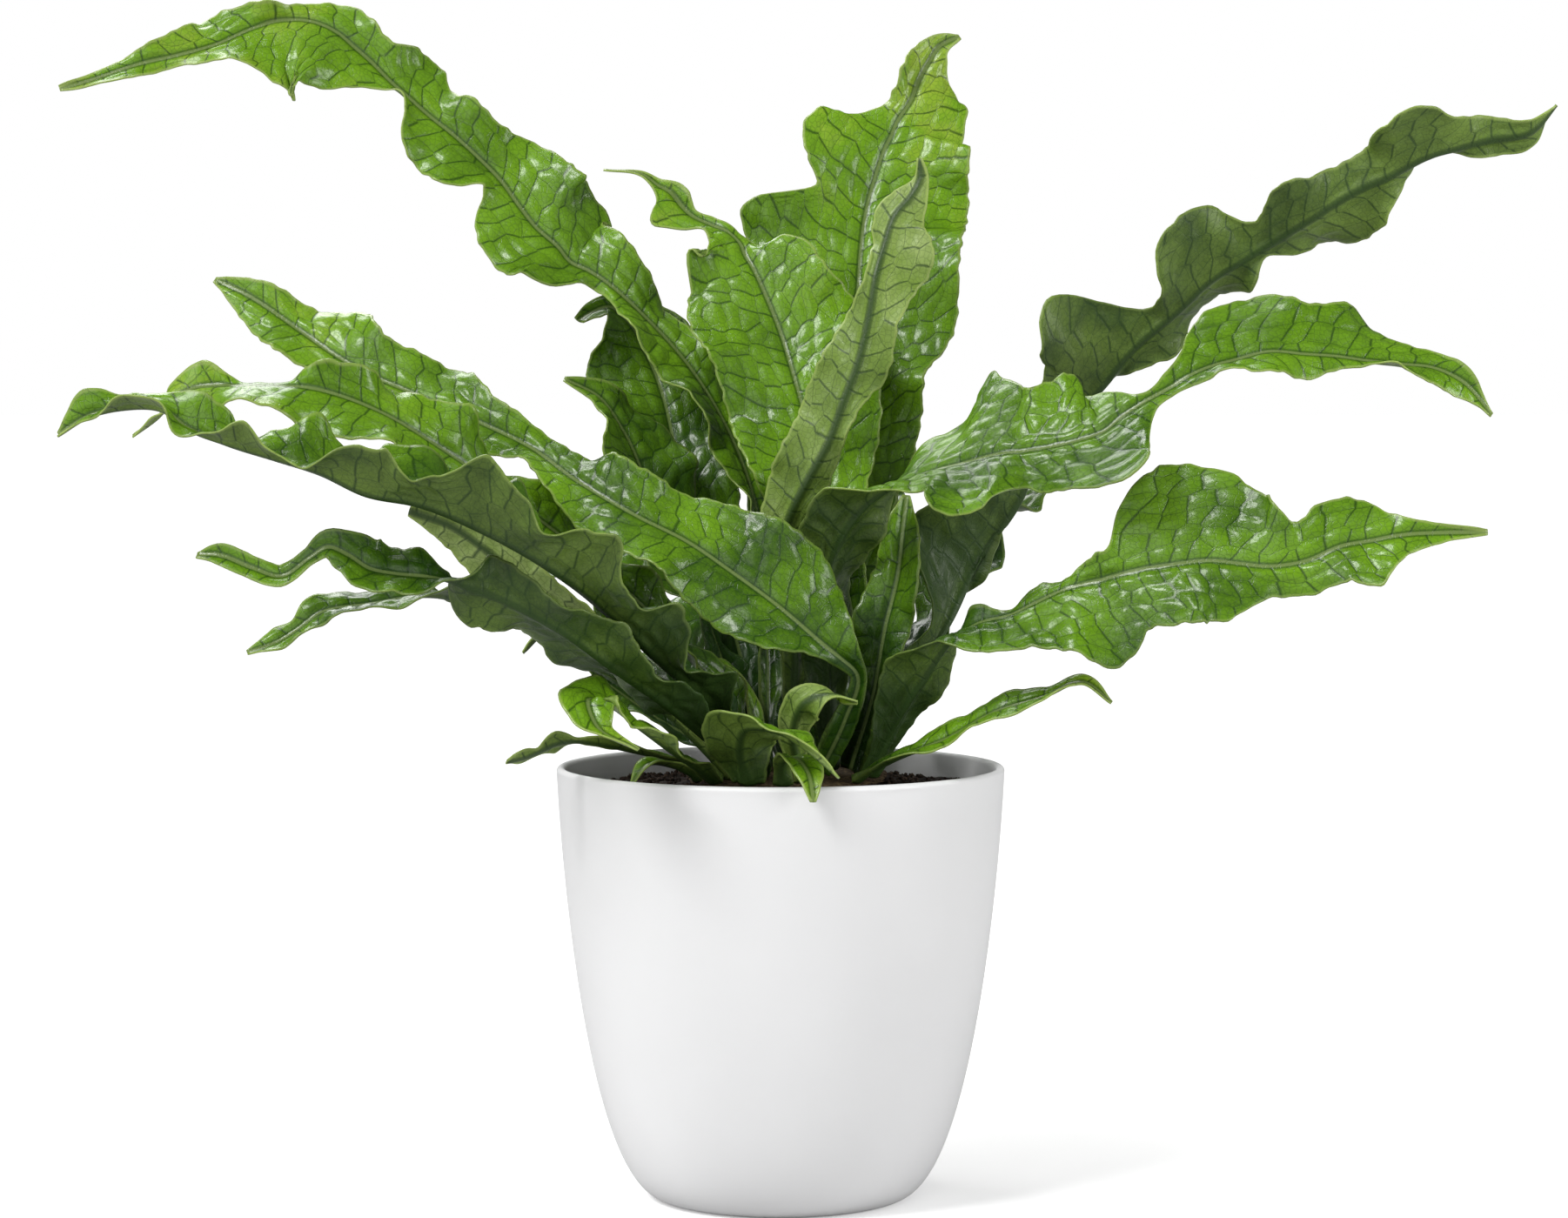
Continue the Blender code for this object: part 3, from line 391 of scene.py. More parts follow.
FRONDS = {
    # Long fronds that stand up at the back and in the middle
    "frond_left_high": Frond("front", 10, 5, 48, [
        (-5, 14, 0, 4, 4, 60), (-5, 24, 49, 7, 7, 60), (-11, 40, 110, 11, 11, 50),
        (-28, 50, 149, 12, 15, 45), (-54, 62, 182, 12, 15, 40), (-82, 72, 205, 21, 9, 28),
        (-90, 74, 209, 25, 20, 26), (-94, 75, 214, 27, 27, 24), (-105, 78, 224, 29, 26, 20),
        (-112, 80, 233, 28, 23, 20), (-120, 83, 244, 25, 10, 22), (-130, 84, 254, 18, 23, 24),
        (-140, 86, 263, 16, 23, 26), (-150, 88, 271, 15, 20, 30), (-160, 89, 280, 23, 5, 34),
        (-168, 90, 287, 20, 9, 34), (-175, 91, 294, 11, 19, 30), (-183, 92, 301, 13, 29, 26),
        (-190, 92, 307, 15, 35, 22), (-202, 92, 312, 9, 42, 22), (-215, 91, 312, 6, 41, 24),
        (-228, 89, 308, 11, 31, 26), (-241, 86, 302, 15, 15, 28), (-257, 83, 297, 10, 6, 26),
        (-277, 80, 292, 5, 7, 26), (-294, 78, 286, 3, 4, 26), (-307, 76, 282, 1, 1, 26)]),
    "frond_centre_tall": Frond("front", 8, 6, 60, [
        (27, 16, 0, 4, 4, 0), (30, 24, 41, 12, 12, 0), (25, 36, 90, 20, 20, 0),
        (27, 56, 142, 33, 32, -5), (29, 63, 162, 34, 38, -6), (31, 69, 177, 42, 42, -7),
        (33, 76, 198, 44, 46, -8), (34, 84, 212, 44, 48, -6), (36, 92, 227, 44, 46, -4),
        (37, 94, 232, 44, 27, -4), (40, 98, 243, 43, 31, 0), (45, 102, 258, 38, 36, 0),
        (48, 105, 264, 35, 29, 0), (50, 107, 269, 33, 14, 0), (57, 111, 280, 26, 9, 5),
        (60, 115, 288, 21, 9, 0), (65, 118, 297, 9, 9, 0), (69, 120, 303, 5, 6, 0),
        (78, 122, 308, 1, 1, 0)]),
    "frond_centre_broad": Frond("front", 8, 5, 56, [
        (10, 2, 0, 4, 4, 0), (13, 8, 50, 9, 9, 0), (14, 16, 99, 18, 18, 0),
        (10, 26, 143, 33, 31, 0), (4, 34, 165, 36, 31, 0), (0, 40, 178, 35, 32, 0),
        (-6, 45, 193, 28, 35, 4), (-12, 50, 206, 22, 30, 8), (-15, 53, 211, 12, 26, 12),
        (-17, 56, 216, 5, 22, 18), (-22, 58, 221, 4, 14, 25), (-29, 61, 224, 4, 6, 35),
        (-39, 64, 229, 3, 12, 30), (-42, 65, 232, 4, 16, 30), (-47, 66, 238, 4, 10, 35),
        (-52, 67, 241, 3, 4, 45), (-57, 68, 245, 2, 2, 50), (-75, 68, 248, 1, 1, 60)]),
    "frond_centre_young": Frond("front", 14, 3, 40, [
        (5, -12, 0, 4, 4, 180), (6, -18, 51, 6, 6, 180), (3, -26, 101, 12, 10, 178),
        (10, -29, 116, 16, 9, 176), (21, -30, 137, 17, 6, 173), (26, -30, 151, 17, 8, 171),
        (31, -29, 164, 16, 12, 168), (36, -26, 184, 11, 13, 164), (39, -22, 201, 5, 18, 161),
        (42, -18, 211, 6, 21, 158), (47, -14, 225, 11, 14, 154), (53, -12, 232, 8, 7, 152),
        (57, -10, 240, 3, 3, 150), (57, -10, 248, 1, 1, 150)]),
    "frond_back_left_dark": Frond("front", 8, 4, 50, [
        (-9, 20, 0, 4, 4, 20), (-18, 36, 48, 8, 8, 20), (-33, 54, 91, 18, 16, 14),
        (-45, 74, 129, 26, 26, 10), (-50, 82, 150, 27, 28, 8), (-57, 90, 168, 24, 29, 10),
        (-66, 93, 184, 14, 17, 22), (-74, 93, 190, 7, 6, 35), (-81, 92, 188, 5, 7, 45),
        (-87, 88, 184, 2, 3, 50)]),
    "frond_left_inner": Frond("front", 14, 6, 48, [
        (-13, 6, 0, 4, 4, 60), (-26, 18, 49, 8, 21, 60), (-41, 32, 84, 15, 25, 55),
        (-55, 44, 113, 21, 21, 50), (-66, 52, 137, 19, 19, 45), (-76, 54, 151, 8, 8, 60),
        (-91, 52, 159, 1, 1, 60)]),
    # Fronds that lean to the left
    "frond_front_left_broad": Frond("front", 6, 6, 62, [
        (16, -40, 1, 4, 4, 0), (26, -48, 23, 5, 5, 0), (30, -56, 42, 4, 3, 0),
        (24, -60, 48, 9, 4, 5), (17, -62, 54, 16, 6, 8), (8, -63, 62, 24, 14, 14),
        (1, -64, 68, 28, 20, 18), (-18, -62, 82, 26, 22, 24), (-37, -60, 95, 22, 21, 28),
        (-57, -58, 105, 18, 18, 30), (-80, -47, 118, 15, 14, 32), (-101, -30, 132, 9, 9, 34),
        (-118, -24, 140, 10, 12, 34), (-137, -18, 148, 20, 15, 30), (-151, -13, 154, 18, 13, 28),
        (-170, -6, 162, 16, 12, 25), (-184, 0, 170, 22, 13, 22), (-196, 6, 178, 14, 15, 20),
        (-221, 15, 194, 6, 8, 20), (-234, 20, 200, 1, 1, 20)]),
    "frond_front_left_long": Frond("front", 38, 7, 44, [
        (-7, -28, 0, 4, 4, 100), (-25, -50, 25, 10, 10, 100), (-51, -82, 53, 19, 19, 100),
        (-80, -108, 81, 25, 25, 98), (-111, -126, 101, 28, 27, 98), (-137, -130, 112, 27, 25, 96),
        (-156, -136, 116, 24, 20, 92), (-173, -138, 124, 19, 17, 86), (-189, -138, 129, 15, 12, 76),
        (-209, -135, 135, 12, 12, 68), (-224, -133, 141, 11, 12, 62), (-232, -132, 147, 10, 11, 60),
        (-249, -130, 148, 8, 8, 60), (-262, -128, 145, 7, 6, 60), (-274, -126, 138, 1, 1, 60)]),
    "frond_left_mid": Frond("front", 8, 8, 52, [
        (-3, -8, 0, 4, 4, 60), (-32, -22, 42, 10, 10, 60), (-68, -34, 80, 11, 12, 55),
        (-102, -50, 108, 12, 17, 50), (-133, -70, 132, 17, 22, 45), (-157, -80, 147, 16, 20, 40),
        (-180, -82, 155, 8, 20, 40), (-209, -80, 157, 4, 18, 50), (-236, -74, 153, 7, 10, 60),
        (-245, -70, 144, 4, 6, 60), (-255, -68, 137, 1, 1, 60)]),
    "frond_left_pale": Frond("front", 10, 2, 40, [
        (-20, -34, 0, 3, 3, 100), (-46, -46, 28, 5, 5, 110), (-74, -60, 57, 8, 8, 130),
        (-102, -66, 80, 12, 11, 150), (-116, -68, 92, 13, 11, 160), (-129, -68, 101, 10, 8, 160),
        (-146, -66, 107, 2, 2, 160)]),
    "frond_low_left_twist": Frond("front", 10, 4, 44, [
        (-11, -38, 0, 4, 4, 110), (-27, -54, 15, 9, 9, 115), (-46, -72, 32, 15, 15, 120),
        (-67, -88, 48, 17, 17, 130), (-82, -100, 60, 18, 17, 138), (-100, -108, 71, 15, 12, 145),
        (-108, -110, 75, 16, 13, 150), (-119, -112, 79, 15, 14, 150), (-128, -115, 83, 5, 6, 90),
        (-136, -116, 84, 10, 9, 40), (-147, -116, 85, 12, 12, 35), (-157, -116, 87, 12, 11, 30),
        (-165, -116, 92, 9, 8, 30), (-173, -116, 95, 6, 5, 30), (-180, -116, 91, 4, 4, 30),
        (-191, -115, 84, 5, 6, 30), (-202, -114, 87, 4, 5, 30), (-216, -112, 92, 4, 4, 30),
        (-224, -110, 92, 1, 1, 30)]),
    "frond_low_left_back": Frond("front", 10, 4, 42, [
        (-16, -18, 0, 3.5, 3.5, 80), (-38, -26, 19, 8, 8, 85), (-69, -34, 40, 12, 12, 95),
        (-103, -42, 60, 13, 13, 95), (-138, -48, 73, 12, 12, 90), (-164, -50, 70, 9, 9, 60),
        (-184, -52, 66, 8, 8, 50), (-192, -53, 60, 4, 4, 45), (-200, -54, 55, 6, 6, 40),
        (-212, -56, 51, 1, 1, 40)]),
    "frond_left_hook": Frond("front", 16, 3, 36, [
        (-12, 24, 0, 3.5, 3.5, 60), (-41, 34, 11, 8, 8, 60), (-70, 42, 29, 12, 12, 60),
        (-89, 44, 44, 11, 11, 70), (-99, 44, 52, 7, 7, 80), (-109, 42, 44, 1, 1, 90)]),
    "frond_low_left_curl": Frond("up", 8, 3, 40, [
        (-26, -46, 0, 4, 4, 0), (-40, -64, 11, 9, 9, -20), (-54, -82, 23, 14, 14, -25),
        (-66, -94, 33, 15, 15, -25), (-74, -104, 36, 12, 12, -10), (-70, -112, 26, 8, 7, 10),
        (-54, -117, 18, 1, 1, 20)]),
    "frond_low_left_beads": Frond("up", 5, 2, 34, [
        (-26, -20, 0, 3, 3, 0), (-44, -26, 6, 4, 4, 0), (-63, -36, 11, 5, 5, 10),
        (-75, -44, 14, 5, 5, 30), (-82, -48, 15, 2, 2, 40), (-90, -52, 14, 6, 6, 45),
        (-97, -55, 11, 2, 2, 45), (-103, -58, 9, 5, 5, 45), (-109, -61, 8, 1, 1, 45)]),
    "frond_rim_left_small": Frond("up", 10, 1, 30, [
        (-33, -37, 0, 3, 3, 0), (-43, -44, 5, 4, 4, 0), (-53, -51, 6, 5, 5, 0),
        (-60, -56, -2, 1, 1, 0)]),
    # Short fronds at the front and in the heart
    "frond_front_centre_arch": Frond("up", 6, 2.5, 40, [
        (-12, -60, 0, 7, 7, 0), (-16, -68, 12, 13, 13, 0), (-14, -78, 22, 16, 16, -10),
        (0, -90, 22, 15, 15, -20), (12, -100, 15, 9, 9, -20), (23, -106, 6, 1, 1, -20)]),
    "frond_front_rim_small": Frond("up", 8, 1.5, 30, [
        (1, -62, 0, 3, 3, 0), (1, -70, 9, 4, 4, 0), (6, -80, 11, 7, 7, 0),
        (11, -92, 6, 6, 6, 0), (13, -101, -4, 1, 1, 0)]),
    "frond_front_small_curl": Frond("front", 10, 2.5, 30, [
        (9, -50, 0, 3, 3, 180), (5, -60, 18, 6, 6, 180), (10, -68, 31, 8, 8, 160),
        (20, -72, 34, 6, 6, 100), (30, -74, 31, 1, 1, 60)]),
    "frond_inner_small": Frond("front", 10, 2, 30, [
        (-5, 6, 0, 3, 3, 60), (-11, 2, 21, 6, 6, 70), (-20, -4, 40, 7, 7, 90),
        (-32, -10, 45, 1, 1, 90)]),
    "frond_centre_dark": Frond("front", 14, 2, 46, [
        (31, -1, 0, 3, 3, 0), (30, -2, 29, 6, 6, 0), (28, -4, 57, 8, 8, 0),
        (27, -4, 79, 8, 8, 0), (27, -2, 96, 5, 5, 0), (28, 0, 108, 1, 1, 0)]),
    # Fronds that lean to the right
    "frond_right_front_arch": Frond("front", 6, 6, 60, [
        (19, -14, 0, 4, 4, -170), (19, -22, 44, 9, 9, -165), (20, -34, 86, 16, 16, -150),
        (36, -46, 111, 18, 16, -125), (63, -58, 124, 24, 30, -66), (71, -62, 126, 36, 42, -54),
        (78, -66, 128, 36, 46, -48), (86, -70, 130, 30, 36, -45), (95, -74, 131, 17, 25, -45),
        (106, -78, 133, 23, 28, -45), (118, -81, 136, 29, 32, -42), (126, -82, 139, 32, 27, -40),
        (132, -82, 144, 28, 18, -40), (141, -82, 150, 9, 4, -40), (152, -81, 156, 4, 5, -42),
        (160, -81, 161, 5, 9, -45), (167, -80, 164, 7, 20, -45), (178, -78, 167, 13, 31, -45),
        (190, -78, 170, 17, 31, -45), (205, -76, 169, 10, 22, -48), (219, -74, 168, 6, 24, -48),
        (226, -73, 167, 5, 27, -47), (235, -72, 166, 7, 22, -46), (245, -71, 165, 9, 13, -45),
        (255, -70, 164, 10, 8, -45), (268, -69, 158, 8, 4, -42), (280, -68, 145, 1, 1, -40)]),
    "frond_right_high": Frond("front", 8, 7, 56, [
        (34, 8, 0, 4, 4, -130), (49, 12, 29, 8, 6, -135), (69, 14, 59, 12, 3, -140),
        (77, 16, 75, 30, 4, -145), (87, 16, 92, 32, 2, -145), (97, 14, 107, 24, 2, -145),
        (104, 12, 122, 16, 8, -145), (120, 6, 145, 22, 8, -145), (128, 3, 152, 32, 6, -145),
        (134, 0, 159, 39, 4, -145), (141, -3, 168, 40, 8, -145), (147, -5, 174, 22, 12, -145),
        (154, -8, 180, 9, 16, -142), (164, -11, 189, 20, 16, -140), (172, -14, 197, 33, 15, -140),
        (179, -16, 202, 33, 14, -140), (184, -18, 205, 29, 12, -138), (189, -19, 208, 20, 6, -138),
        (194, -20, 211, 14, 4, -140), (202, -23, 216, 15, 14, -148), (208, -26, 220, 21, 18, -152),
        (213, -28, 223, 24, 20, -152), (222, -30, 229, 14, 23, -150), (235, -33, 236, 11, 17, -148),
        (242, -35, 239, 14, 10, -145), (247, -36, 242, 22, 9, -142), (257, -38, 247, 29, 4, -140),
        (270, -38, 251, 16, 5, -138), (283, -38, 254, 8, 7, -136), (298, -40, 257, 6, 8, -134),
        (308, -40, 268, 1, 1, -134)]),
    "frond_right_low": Frond("front", 4, 5, 66, [
        (35, -30, 0, 4, 4, -150), (44, -38, 18, 10, 8, -150), (56, -50, 38, 16, 9, -148),
        (69, -62, 58, 14, 8, -110), (77, -68, 63, 17, 6, -75), (90, -75, 67, 20, 3, -45),
        (100, -79, 72, 23, 8, -34), (110, -84, 77, 28, 5, -28), (125, -88, 81, 36, 9, -24),
        (131, -91, 83, 32, 11, -22), (138, -93, 85, 25, 27, -21), (149, -96, 87, 25, 39, -20),
        (168, -99, 89, 27, 37, -20), (177, -101, 88, 24, 31, -20), (188, -103, 87, 13, 26, -20),
        (202, -104, 89, 13, 15, -20), (216, -105, 95, 16, 19, -20), (227, -105, 97, 20, 18, -20),
        (237, -106, 99, 11, 9, -20), (255, -106, 100, 4, 3, -20), (272, -106, 100, 1, 1, -20)]),
    "frond_right_inner": Frond("front", 16, 4, 50, [
        (28, -20, 0, 4, 4, -30), (37, -28, 31, 9, 9, -30), (42, -32, 59, 12, 12, -30),
        (47, -32, 80, 12, 11, -25), (49, -28, 97, 8, 8, -20), (51, -24, 112, 1, 1, -20)]),
    "frond_right_low_narrow": Frond("up", 8, 2, 34, [
        (30, -42, 0, 3, 3, 0), (46, -52, 9, 6, 6, 20), (65, -62, 17, 8, 8, 30),
        (83, -70, 28, 9, 8, 30), (103, -76, 35, 7, 6, 25), (119, -80, 41, 4, 4, 20),
        (130, -82, 33, 1, 1, 20)]),
    # Fronds round the back of the rosette
    "frond_back_right": Frond("front", 10, 7, 48, [
        (37, 22, 0, 4, 4, -60), (55, 50, 39, 12, 12, -60), (76, 84, 74, 19, 19, -60),
        (98, 120, 104, 20, 20, -60), (121, 150, 130, 15, 15, -60), (143, 176, 148, 1, 1, -60)]),
    "frond_back_left": Frond("front", 10, 7, 48, [
        (-16, 36, 0, 4, 4, 60), (-39, 62, 32, 19, 13, 60), (-66, 92, 59, 28, 22, 60),
        (-97, 130, 86, 24, 24, 60), (-130, 160, 109, 16, 16, 60), (-160, 180, 127, 1, 1, 60)]),
    "frond_back_centre_right": Frond("front", 10, 7, 50, [
        (17, 32, 0, 4, 4, 0), (21, 70, 44, 12, 12, 0), (30, 118, 92, 20, 22, 0),
        (38, 164, 137, 22, 28, 0), (45, 200, 174, 17, 22, 0), (50, 226, 201, 1, 1, 0)]),
    "frond_back_centre_left": Frond("front", 10, 7, 50, [
        (3, 36, 0, 4, 4, 0), (1, 82, 35, 12, 12, 0), (4, 136, 76, 20, 20, 0),
        (8, 182, 109, 24, 24, 0), (7, 222, 140, 20, 20, 0), (1, 250, 169, 1, 1, 0)]),
    "frond_back_low_right": Frond("up", 8, 5, 44, [
        (22, 48, 0, 4, 4, 0), (36, 82, 15, 12, 12, 0), (46, 116, 28, 18, 18, 0),
        (50, 152, 30, 18, 18, 0), (52, 186, 20, 1, 1, 0)]),
    "frond_back_low_left": Frond("up", 8, 5, 44, [
        (-8, 53, 0, 4, 4, 0), (-32, 80, 17, 12, 12, 0), (-50, 112, 31, 20, 20, 0),
        (-64, 150, 35, 18, 18, 0), (-74, 188, 24, 1, 1, 0)]),
    "frond_back_middle": Frond("up", 8, 6, 46, [
        (8, 52, 0, 4, 4, 0), (9, 92, 25, 13, 13, 0), (11, 142, 48, 22, 22, 0),
        (13, 194, 57, 24, 24, 0), (14, 240, 47, 14, 14, 0), (14, 268, 30, 1, 1, 0)]),
}

print("fronds:", len(FRONDS))

# %% [markdown]
# ## From midrib to blade
# A smooth curve through the rows gives the midrib, the widths and the turn at any distance. At
# each distance a little frame, along, aside and normal, carries the cross section: two halves
# that fold up from the midrib, and a margin that waves because it is longer than the midrib.

# %% The midrib curve
class Spine:
    """A smooth curve through a frond's rows, read by distance along it."""

    def __init__(self, rows):
        self.points = np.array(rows, float) + (0, 0, STALK_FOOT, 0, 0, 0)
        steps = np.linalg.norm(np.diff(self.points[:, :3], axis=0), axis=1)
        self.at = np.concatenate([[0.0], np.cumsum(steps)])
        self.length = self.at[-1]
        slopes = np.diff(self.points, axis=0) / steps[:, None]
        share = (steps[:-1] / (steps[:-1] + steps[1:]))[:, None]
        inner = slopes[:-1] * (1 - share) + slopes[1:] * share
        self.slopes = np.concatenate([slopes[:1], inner, slopes[-1:]])

    def read(self, distance):
        """x, y, z, the two widths and the turn at a distance along the midrib."""
        i = int(np.clip(np.searchsorted(self.at, distance) - 1, 0, len(self.at) - 2))
        span = self.at[i + 1] - self.at[i]
        t = (distance - self.at[i]) / span
        return (
            self.points[i] * (2 * t ** 3 - 3 * t ** 2 + 1)
            + self.points[i + 1] * (3 * t ** 2 - 2 * t ** 3)
            + self.slopes[i] * span * (t ** 3 - 2 * t ** 2 + t)
            + self.slopes[i + 1] * span * (t ** 3 - t ** 2)
        )


print("longest midrib mm:", round(max(Spine(frond.spine).length for frond in FRONDS.values())))

# %% [markdown]
# A real blade is longer along its margin than along its midrib, so the margin waves. Here each
# half rises by the fold, then a long wave and a quicker ripple lift it more and more towards the
# margin. Small scallops nibble at the width. Narrow parts, such as the stalk, get none of it.

# %% The blade's cross section
# Lengths are in millimetres. The scallops and the ripple are shares of the width and the wave.
FULL_WAVE_WIDTH = 28.0
SCALLOP_STEP = 9.0
SCALLOP = 0.35
SMALL_SCALLOP = 0.2
SMALL_SCALLOP_RATE = 1.7
SCALLOPED_WIDTH = 8
WAVE_RISE = 1.6
RIPPLE = 0.22
RIPPLE_RATE = 2.6
LEAST_WIDTH = 0.5


class Row:
    """The cross section of a frond at one distance along its midrib."""

    def __init__(self, frond, spine, distance, seed):
        self.frond = frond
        self.distance = distance
        self.seed = seed
        *centre, one, other, turn = spine.read(distance)
        ahead = spine.read(min(distance + 1.0, spine.length))
        behind = spine.read(max(distance - 1.0, 0.0))
        upper = Vector((0, -1, 0)) if frond.facing == "front" else Vector((0, 0, 1))
        along = Vector(ahead[:3] - behind[:3]).normalized()
        self.normal = (upper - along * upper.dot(along)).normalized()
        self.normal.rotate(Matrix.Rotation(math.radians(turn), 3, along))
        self.aside = along.cross(self.normal)
        self.centre = Vector(centre)
        self.widths = {1: max(one, LEAST_WIDTH), -1: max(other, LEAST_WIDTH)}
        self.grown = min(1.0, (one + other) / FULL_WAVE_WIDTH)

    def reach(self, side):
        """Width of the blade on one side, with the small scallops of the margin."""
        turns = self.distance / SCALLOP_STEP + self.seed
        small = SMALL_SCALLOP * math.sin(math.tau * SMALL_SCALLOP_RATE * turns)
        scallop = SCALLOP * math.sin(math.tau * turns + side) + small
        return self.widths[side] + scallop * self.grown * min(1.0, self.widths[side] / SCALLOPED_WIDTH)

    def point(self, across):
        """Place of a point and its distance from the midrib, across from -1 to 1."""
        side = 1 if across > 0 else -1
        away = abs(across) * self.reach(side)
        fold = math.radians(self.frond.fold)
        waves = self.distance / self.frond.wave + (0.5 if side > 0 else 0.0)
        ripple = RIPPLE * math.sin(math.tau * RIPPLE_RATE * waves + self.seed)
        lift = math.sin(math.tau * waves) + ripple
        wave = self.frond.ruffle * self.grown * abs(across) ** WAVE_RISE * lift
        place = (
            self.centre + self.aside * side * away * math.cos(fold)
            + self.normal * (away * math.sin(fold) + wave)
        )
        return place * MM, side * away * MM


print("scallops about", SCALLOP_STEP, "mm long")

# %% [markdown]
# ## Relief
# The cells bulge by about half a millimetre. A geometry node tree pushes each vertex along its
# normal by the same vein pattern that the shaders draw, and only then does the blade get its
# thickness, so that the underside shows the cells as hollows, as on the real frond.

# %% Relief tree
CELL_HEIGHT = 0.75 * MM
CELL_SHOULDER = 0.36
RIB_SIDE = 0.6 * MM
FURROW_SIDE = 3.5 * MM
CELLS_START = 4 * MM
FLAT_MARGIN = 5 * MM
MARGIN_RELIEF = 0.1


def make_relief_tree():
    """Geometry nodes: lifts the cells of a blade and sinks the midrib's furrow."""
    tree = bpy.data.node_groups.new("blade_relief", "GeometryNodeTree")
    tree.interface.new_socket("Geometry", in_out="INPUT", socket_type="NodeSocketGeometry")
    tree.interface.new_socket("Geometry", in_out="OUTPUT", socket_type="NodeSocketGeometry")
    given = tree.nodes.new("NodeGroupInput")
    out = tree.nodes.new("NodeGroupOutput")
    place = node(tree, "GeometryNodeInputNamedAttribute", {"Name": "flat"}, data_type="FLOAT_VECTOR")
    along = node(tree, "ShaderNodeSeparateXYZ", {0: place}, output=0)
    across = node(tree, "ShaderNodeSeparateXYZ", {0: place}, output=1)
    margin = node(tree, "GeometryNodeInputNamedAttribute", {"Name": "margin"}, data_type="FLOAT")
    edge, side_vein, away = vein_pattern(tree, along, across)
    bulge = ramp(tree, edge, 0.0, CELL_SHOULDER)
    bulge = calc(tree, "MULTIPLY", bulge, ramp(tree, away, RIB_SIDE, CELLS_START))
    near_margin = ramp(tree, margin, 0.0, FLAT_MARGIN, MARGIN_RELIEF, 1.0)
    bulge = calc(tree, "MULTIPLY", bulge, near_margin)
    furrow = calc(tree, "SUBTRACT", ramp(tree, away, RIB_SIDE, FURROW_SIDE), 1.0)
    height = calc(tree, "MULTIPLY", calc(tree, "ADD", bulge, furrow), CELL_HEIGHT)
    normal = node(tree, "GeometryNodeInputNormal")
    offset = node(tree, "ShaderNodeVectorMath", {0: normal, "Scale": height}, operation="SCALE")
    lifted = node(tree, "GeometryNodeSetPosition", {"Geometry": given.outputs[0], "Offset": offset})
    tree.links.new(lifted, out.inputs[0])
    return tree


RELIEF = make_relief_tree()
print("relief nodes:", len(RELIEF.nodes), "and cells up to", round(CELL_HEIGHT / MM, 2), "mm high")

# %% [markdown]
# ## One frond
# The blade is a grid from bmesh, laid along the midrib. Its thickness comes from Solidify, with a
# vertex group that makes the stalk and the midrib thick and the blade thin. Solidify also gives
# the underside and the margin their own materials.

# %% The sheet of a blade
# GRAIN is the size of a face, and the next three are thicknesses and a half width, all in mm.
# The others are shares of the frond's length, of the greatest thickness, or steps of tone.
GRAIN = 1.3
BLADE_THICKNESS = 0.7
STALK_THICKNESS = 3.2
RIB_HALF = 1.3
STALK_TAPER = 7
RIB_AT_FOOT = 0.62
RIB_LOSS = 0.5
STALK_SHADE_SHARE = 0.38
STALK_SHADE = 0.55
TIP_SHARE = 0.60
TIP_LIGHT = 0.40


def blade_mesh(frond, tone, seed):
    """The blade as a single sheet with its flat coordinates and its masks."""
    spine = Spine(frond.spine)
    rows = max(30, round(spine.length / GRAIN))
    widest = max(row[3] + row[4] for row in frond.spine)
    columns = 2 * max(6, round(widest / GRAIN / 2))
    bm = bmesh.new()
    flat = bm.verts.layers.float_vector.new("flat")
    margin = bm.verts.layers.float.new("margin")
    tones = bm.verts.layers.float.new("tone")
    weights = bm.verts.layers.deform.new("thickness")
    blade = bm.loops.layers.uv.new("blade")
    bmesh.ops.create_grid(bm, x_segments=rows, y_segments=columns, size=1.0)
    sections = {}
    for vert in bm.verts:
        share = (vert.co.x + 1) / 2
        across = vert.co.y
        key = round(share * rows)
        if key not in sections:
            sections[key] = Row(frond, spine, key / rows * spine.length, seed)
        row = sections[key]
        vert.co, away = row.point(across)
        vert[flat] = (row.distance * MM, away + 1e-6, 0.0)
        vert[margin] = (1 - abs(across)) * row.widths[1 if across > 0 else -1] * MM
        # Towards the stalk the tone drops: partly the stalk's own deeper green, partly painted shade of
        # the crowded heart.
        shade = max(0.0, STALK_SHADE_SHARE - share) / STALK_SHADE_SHARE
        fresh = max(0.0, share - TIP_SHARE) / (1 - TIP_SHARE)
        vert[tones] = tone - STALK_SHADE * shade + TIP_LIGHT * fresh
        stalk = max(0.0, 1 - STALK_TAPER * share)
        rib_here = max(0.0, 1 - (abs(away) / MM / RIB_HALF) ** 2)
        rib = (RIB_AT_FOOT - RIB_LOSS * share) * rib_here
        least = BLADE_THICKNESS / STALK_THICKNESS
        vert[weights][0] = max(stalk, rib, least)
    bmesh.ops.reverse_faces(bm, faces=bm.faces)
    for face in bm.faces:
        for loop in face.loops:
            loop[blade].uv = loop.vert[flat].xy
    return bm


print("faces of a blade about", GRAIN, "mm")

# %% [markdown]
# The sheet then gets its relief and its thickness, in that order, and both are made part of the
# mesh. The random part of a frond's waves comes from its name, so no two fronds wave in step.

# %% The finished frond
def make_frond(name, frond, tone):
    """A finished frond: sheet, relief, thickness, materials."""
    seed = sum(map(ord, name)) % 97 / 10
    piece = add_mesh(name + "_blade", blade_mesh(frond, tone, seed), UPPER, UNDER, MARGIN)
    piece.vertex_groups.new(name="thickness")
    relief = piece.modifiers.new("relief", "NODES")
    relief.node_group = RELIEF
    solidify = piece.modifiers.new("thickness", "SOLIDIFY")
    solidify.thickness = STALK_THICKNESS * MM
    solidify.offset = -1
    solidify.vertex_group = "thickness"
    solidify.material_offset = 1
    solidify.material_offset_rim = 2
    return finish_piece(baked(piece), [name])


print("thickness mm:", BLADE_THICKNESS, "blade,", STALK_THICKNESS, "stalk")

# %% [markdown]
# Young fronds are pale and old ones deep green, and no two are quite alike. Each slot of the
# record has its own tone, and a few fronds that differ from their neighbours have one of their own.

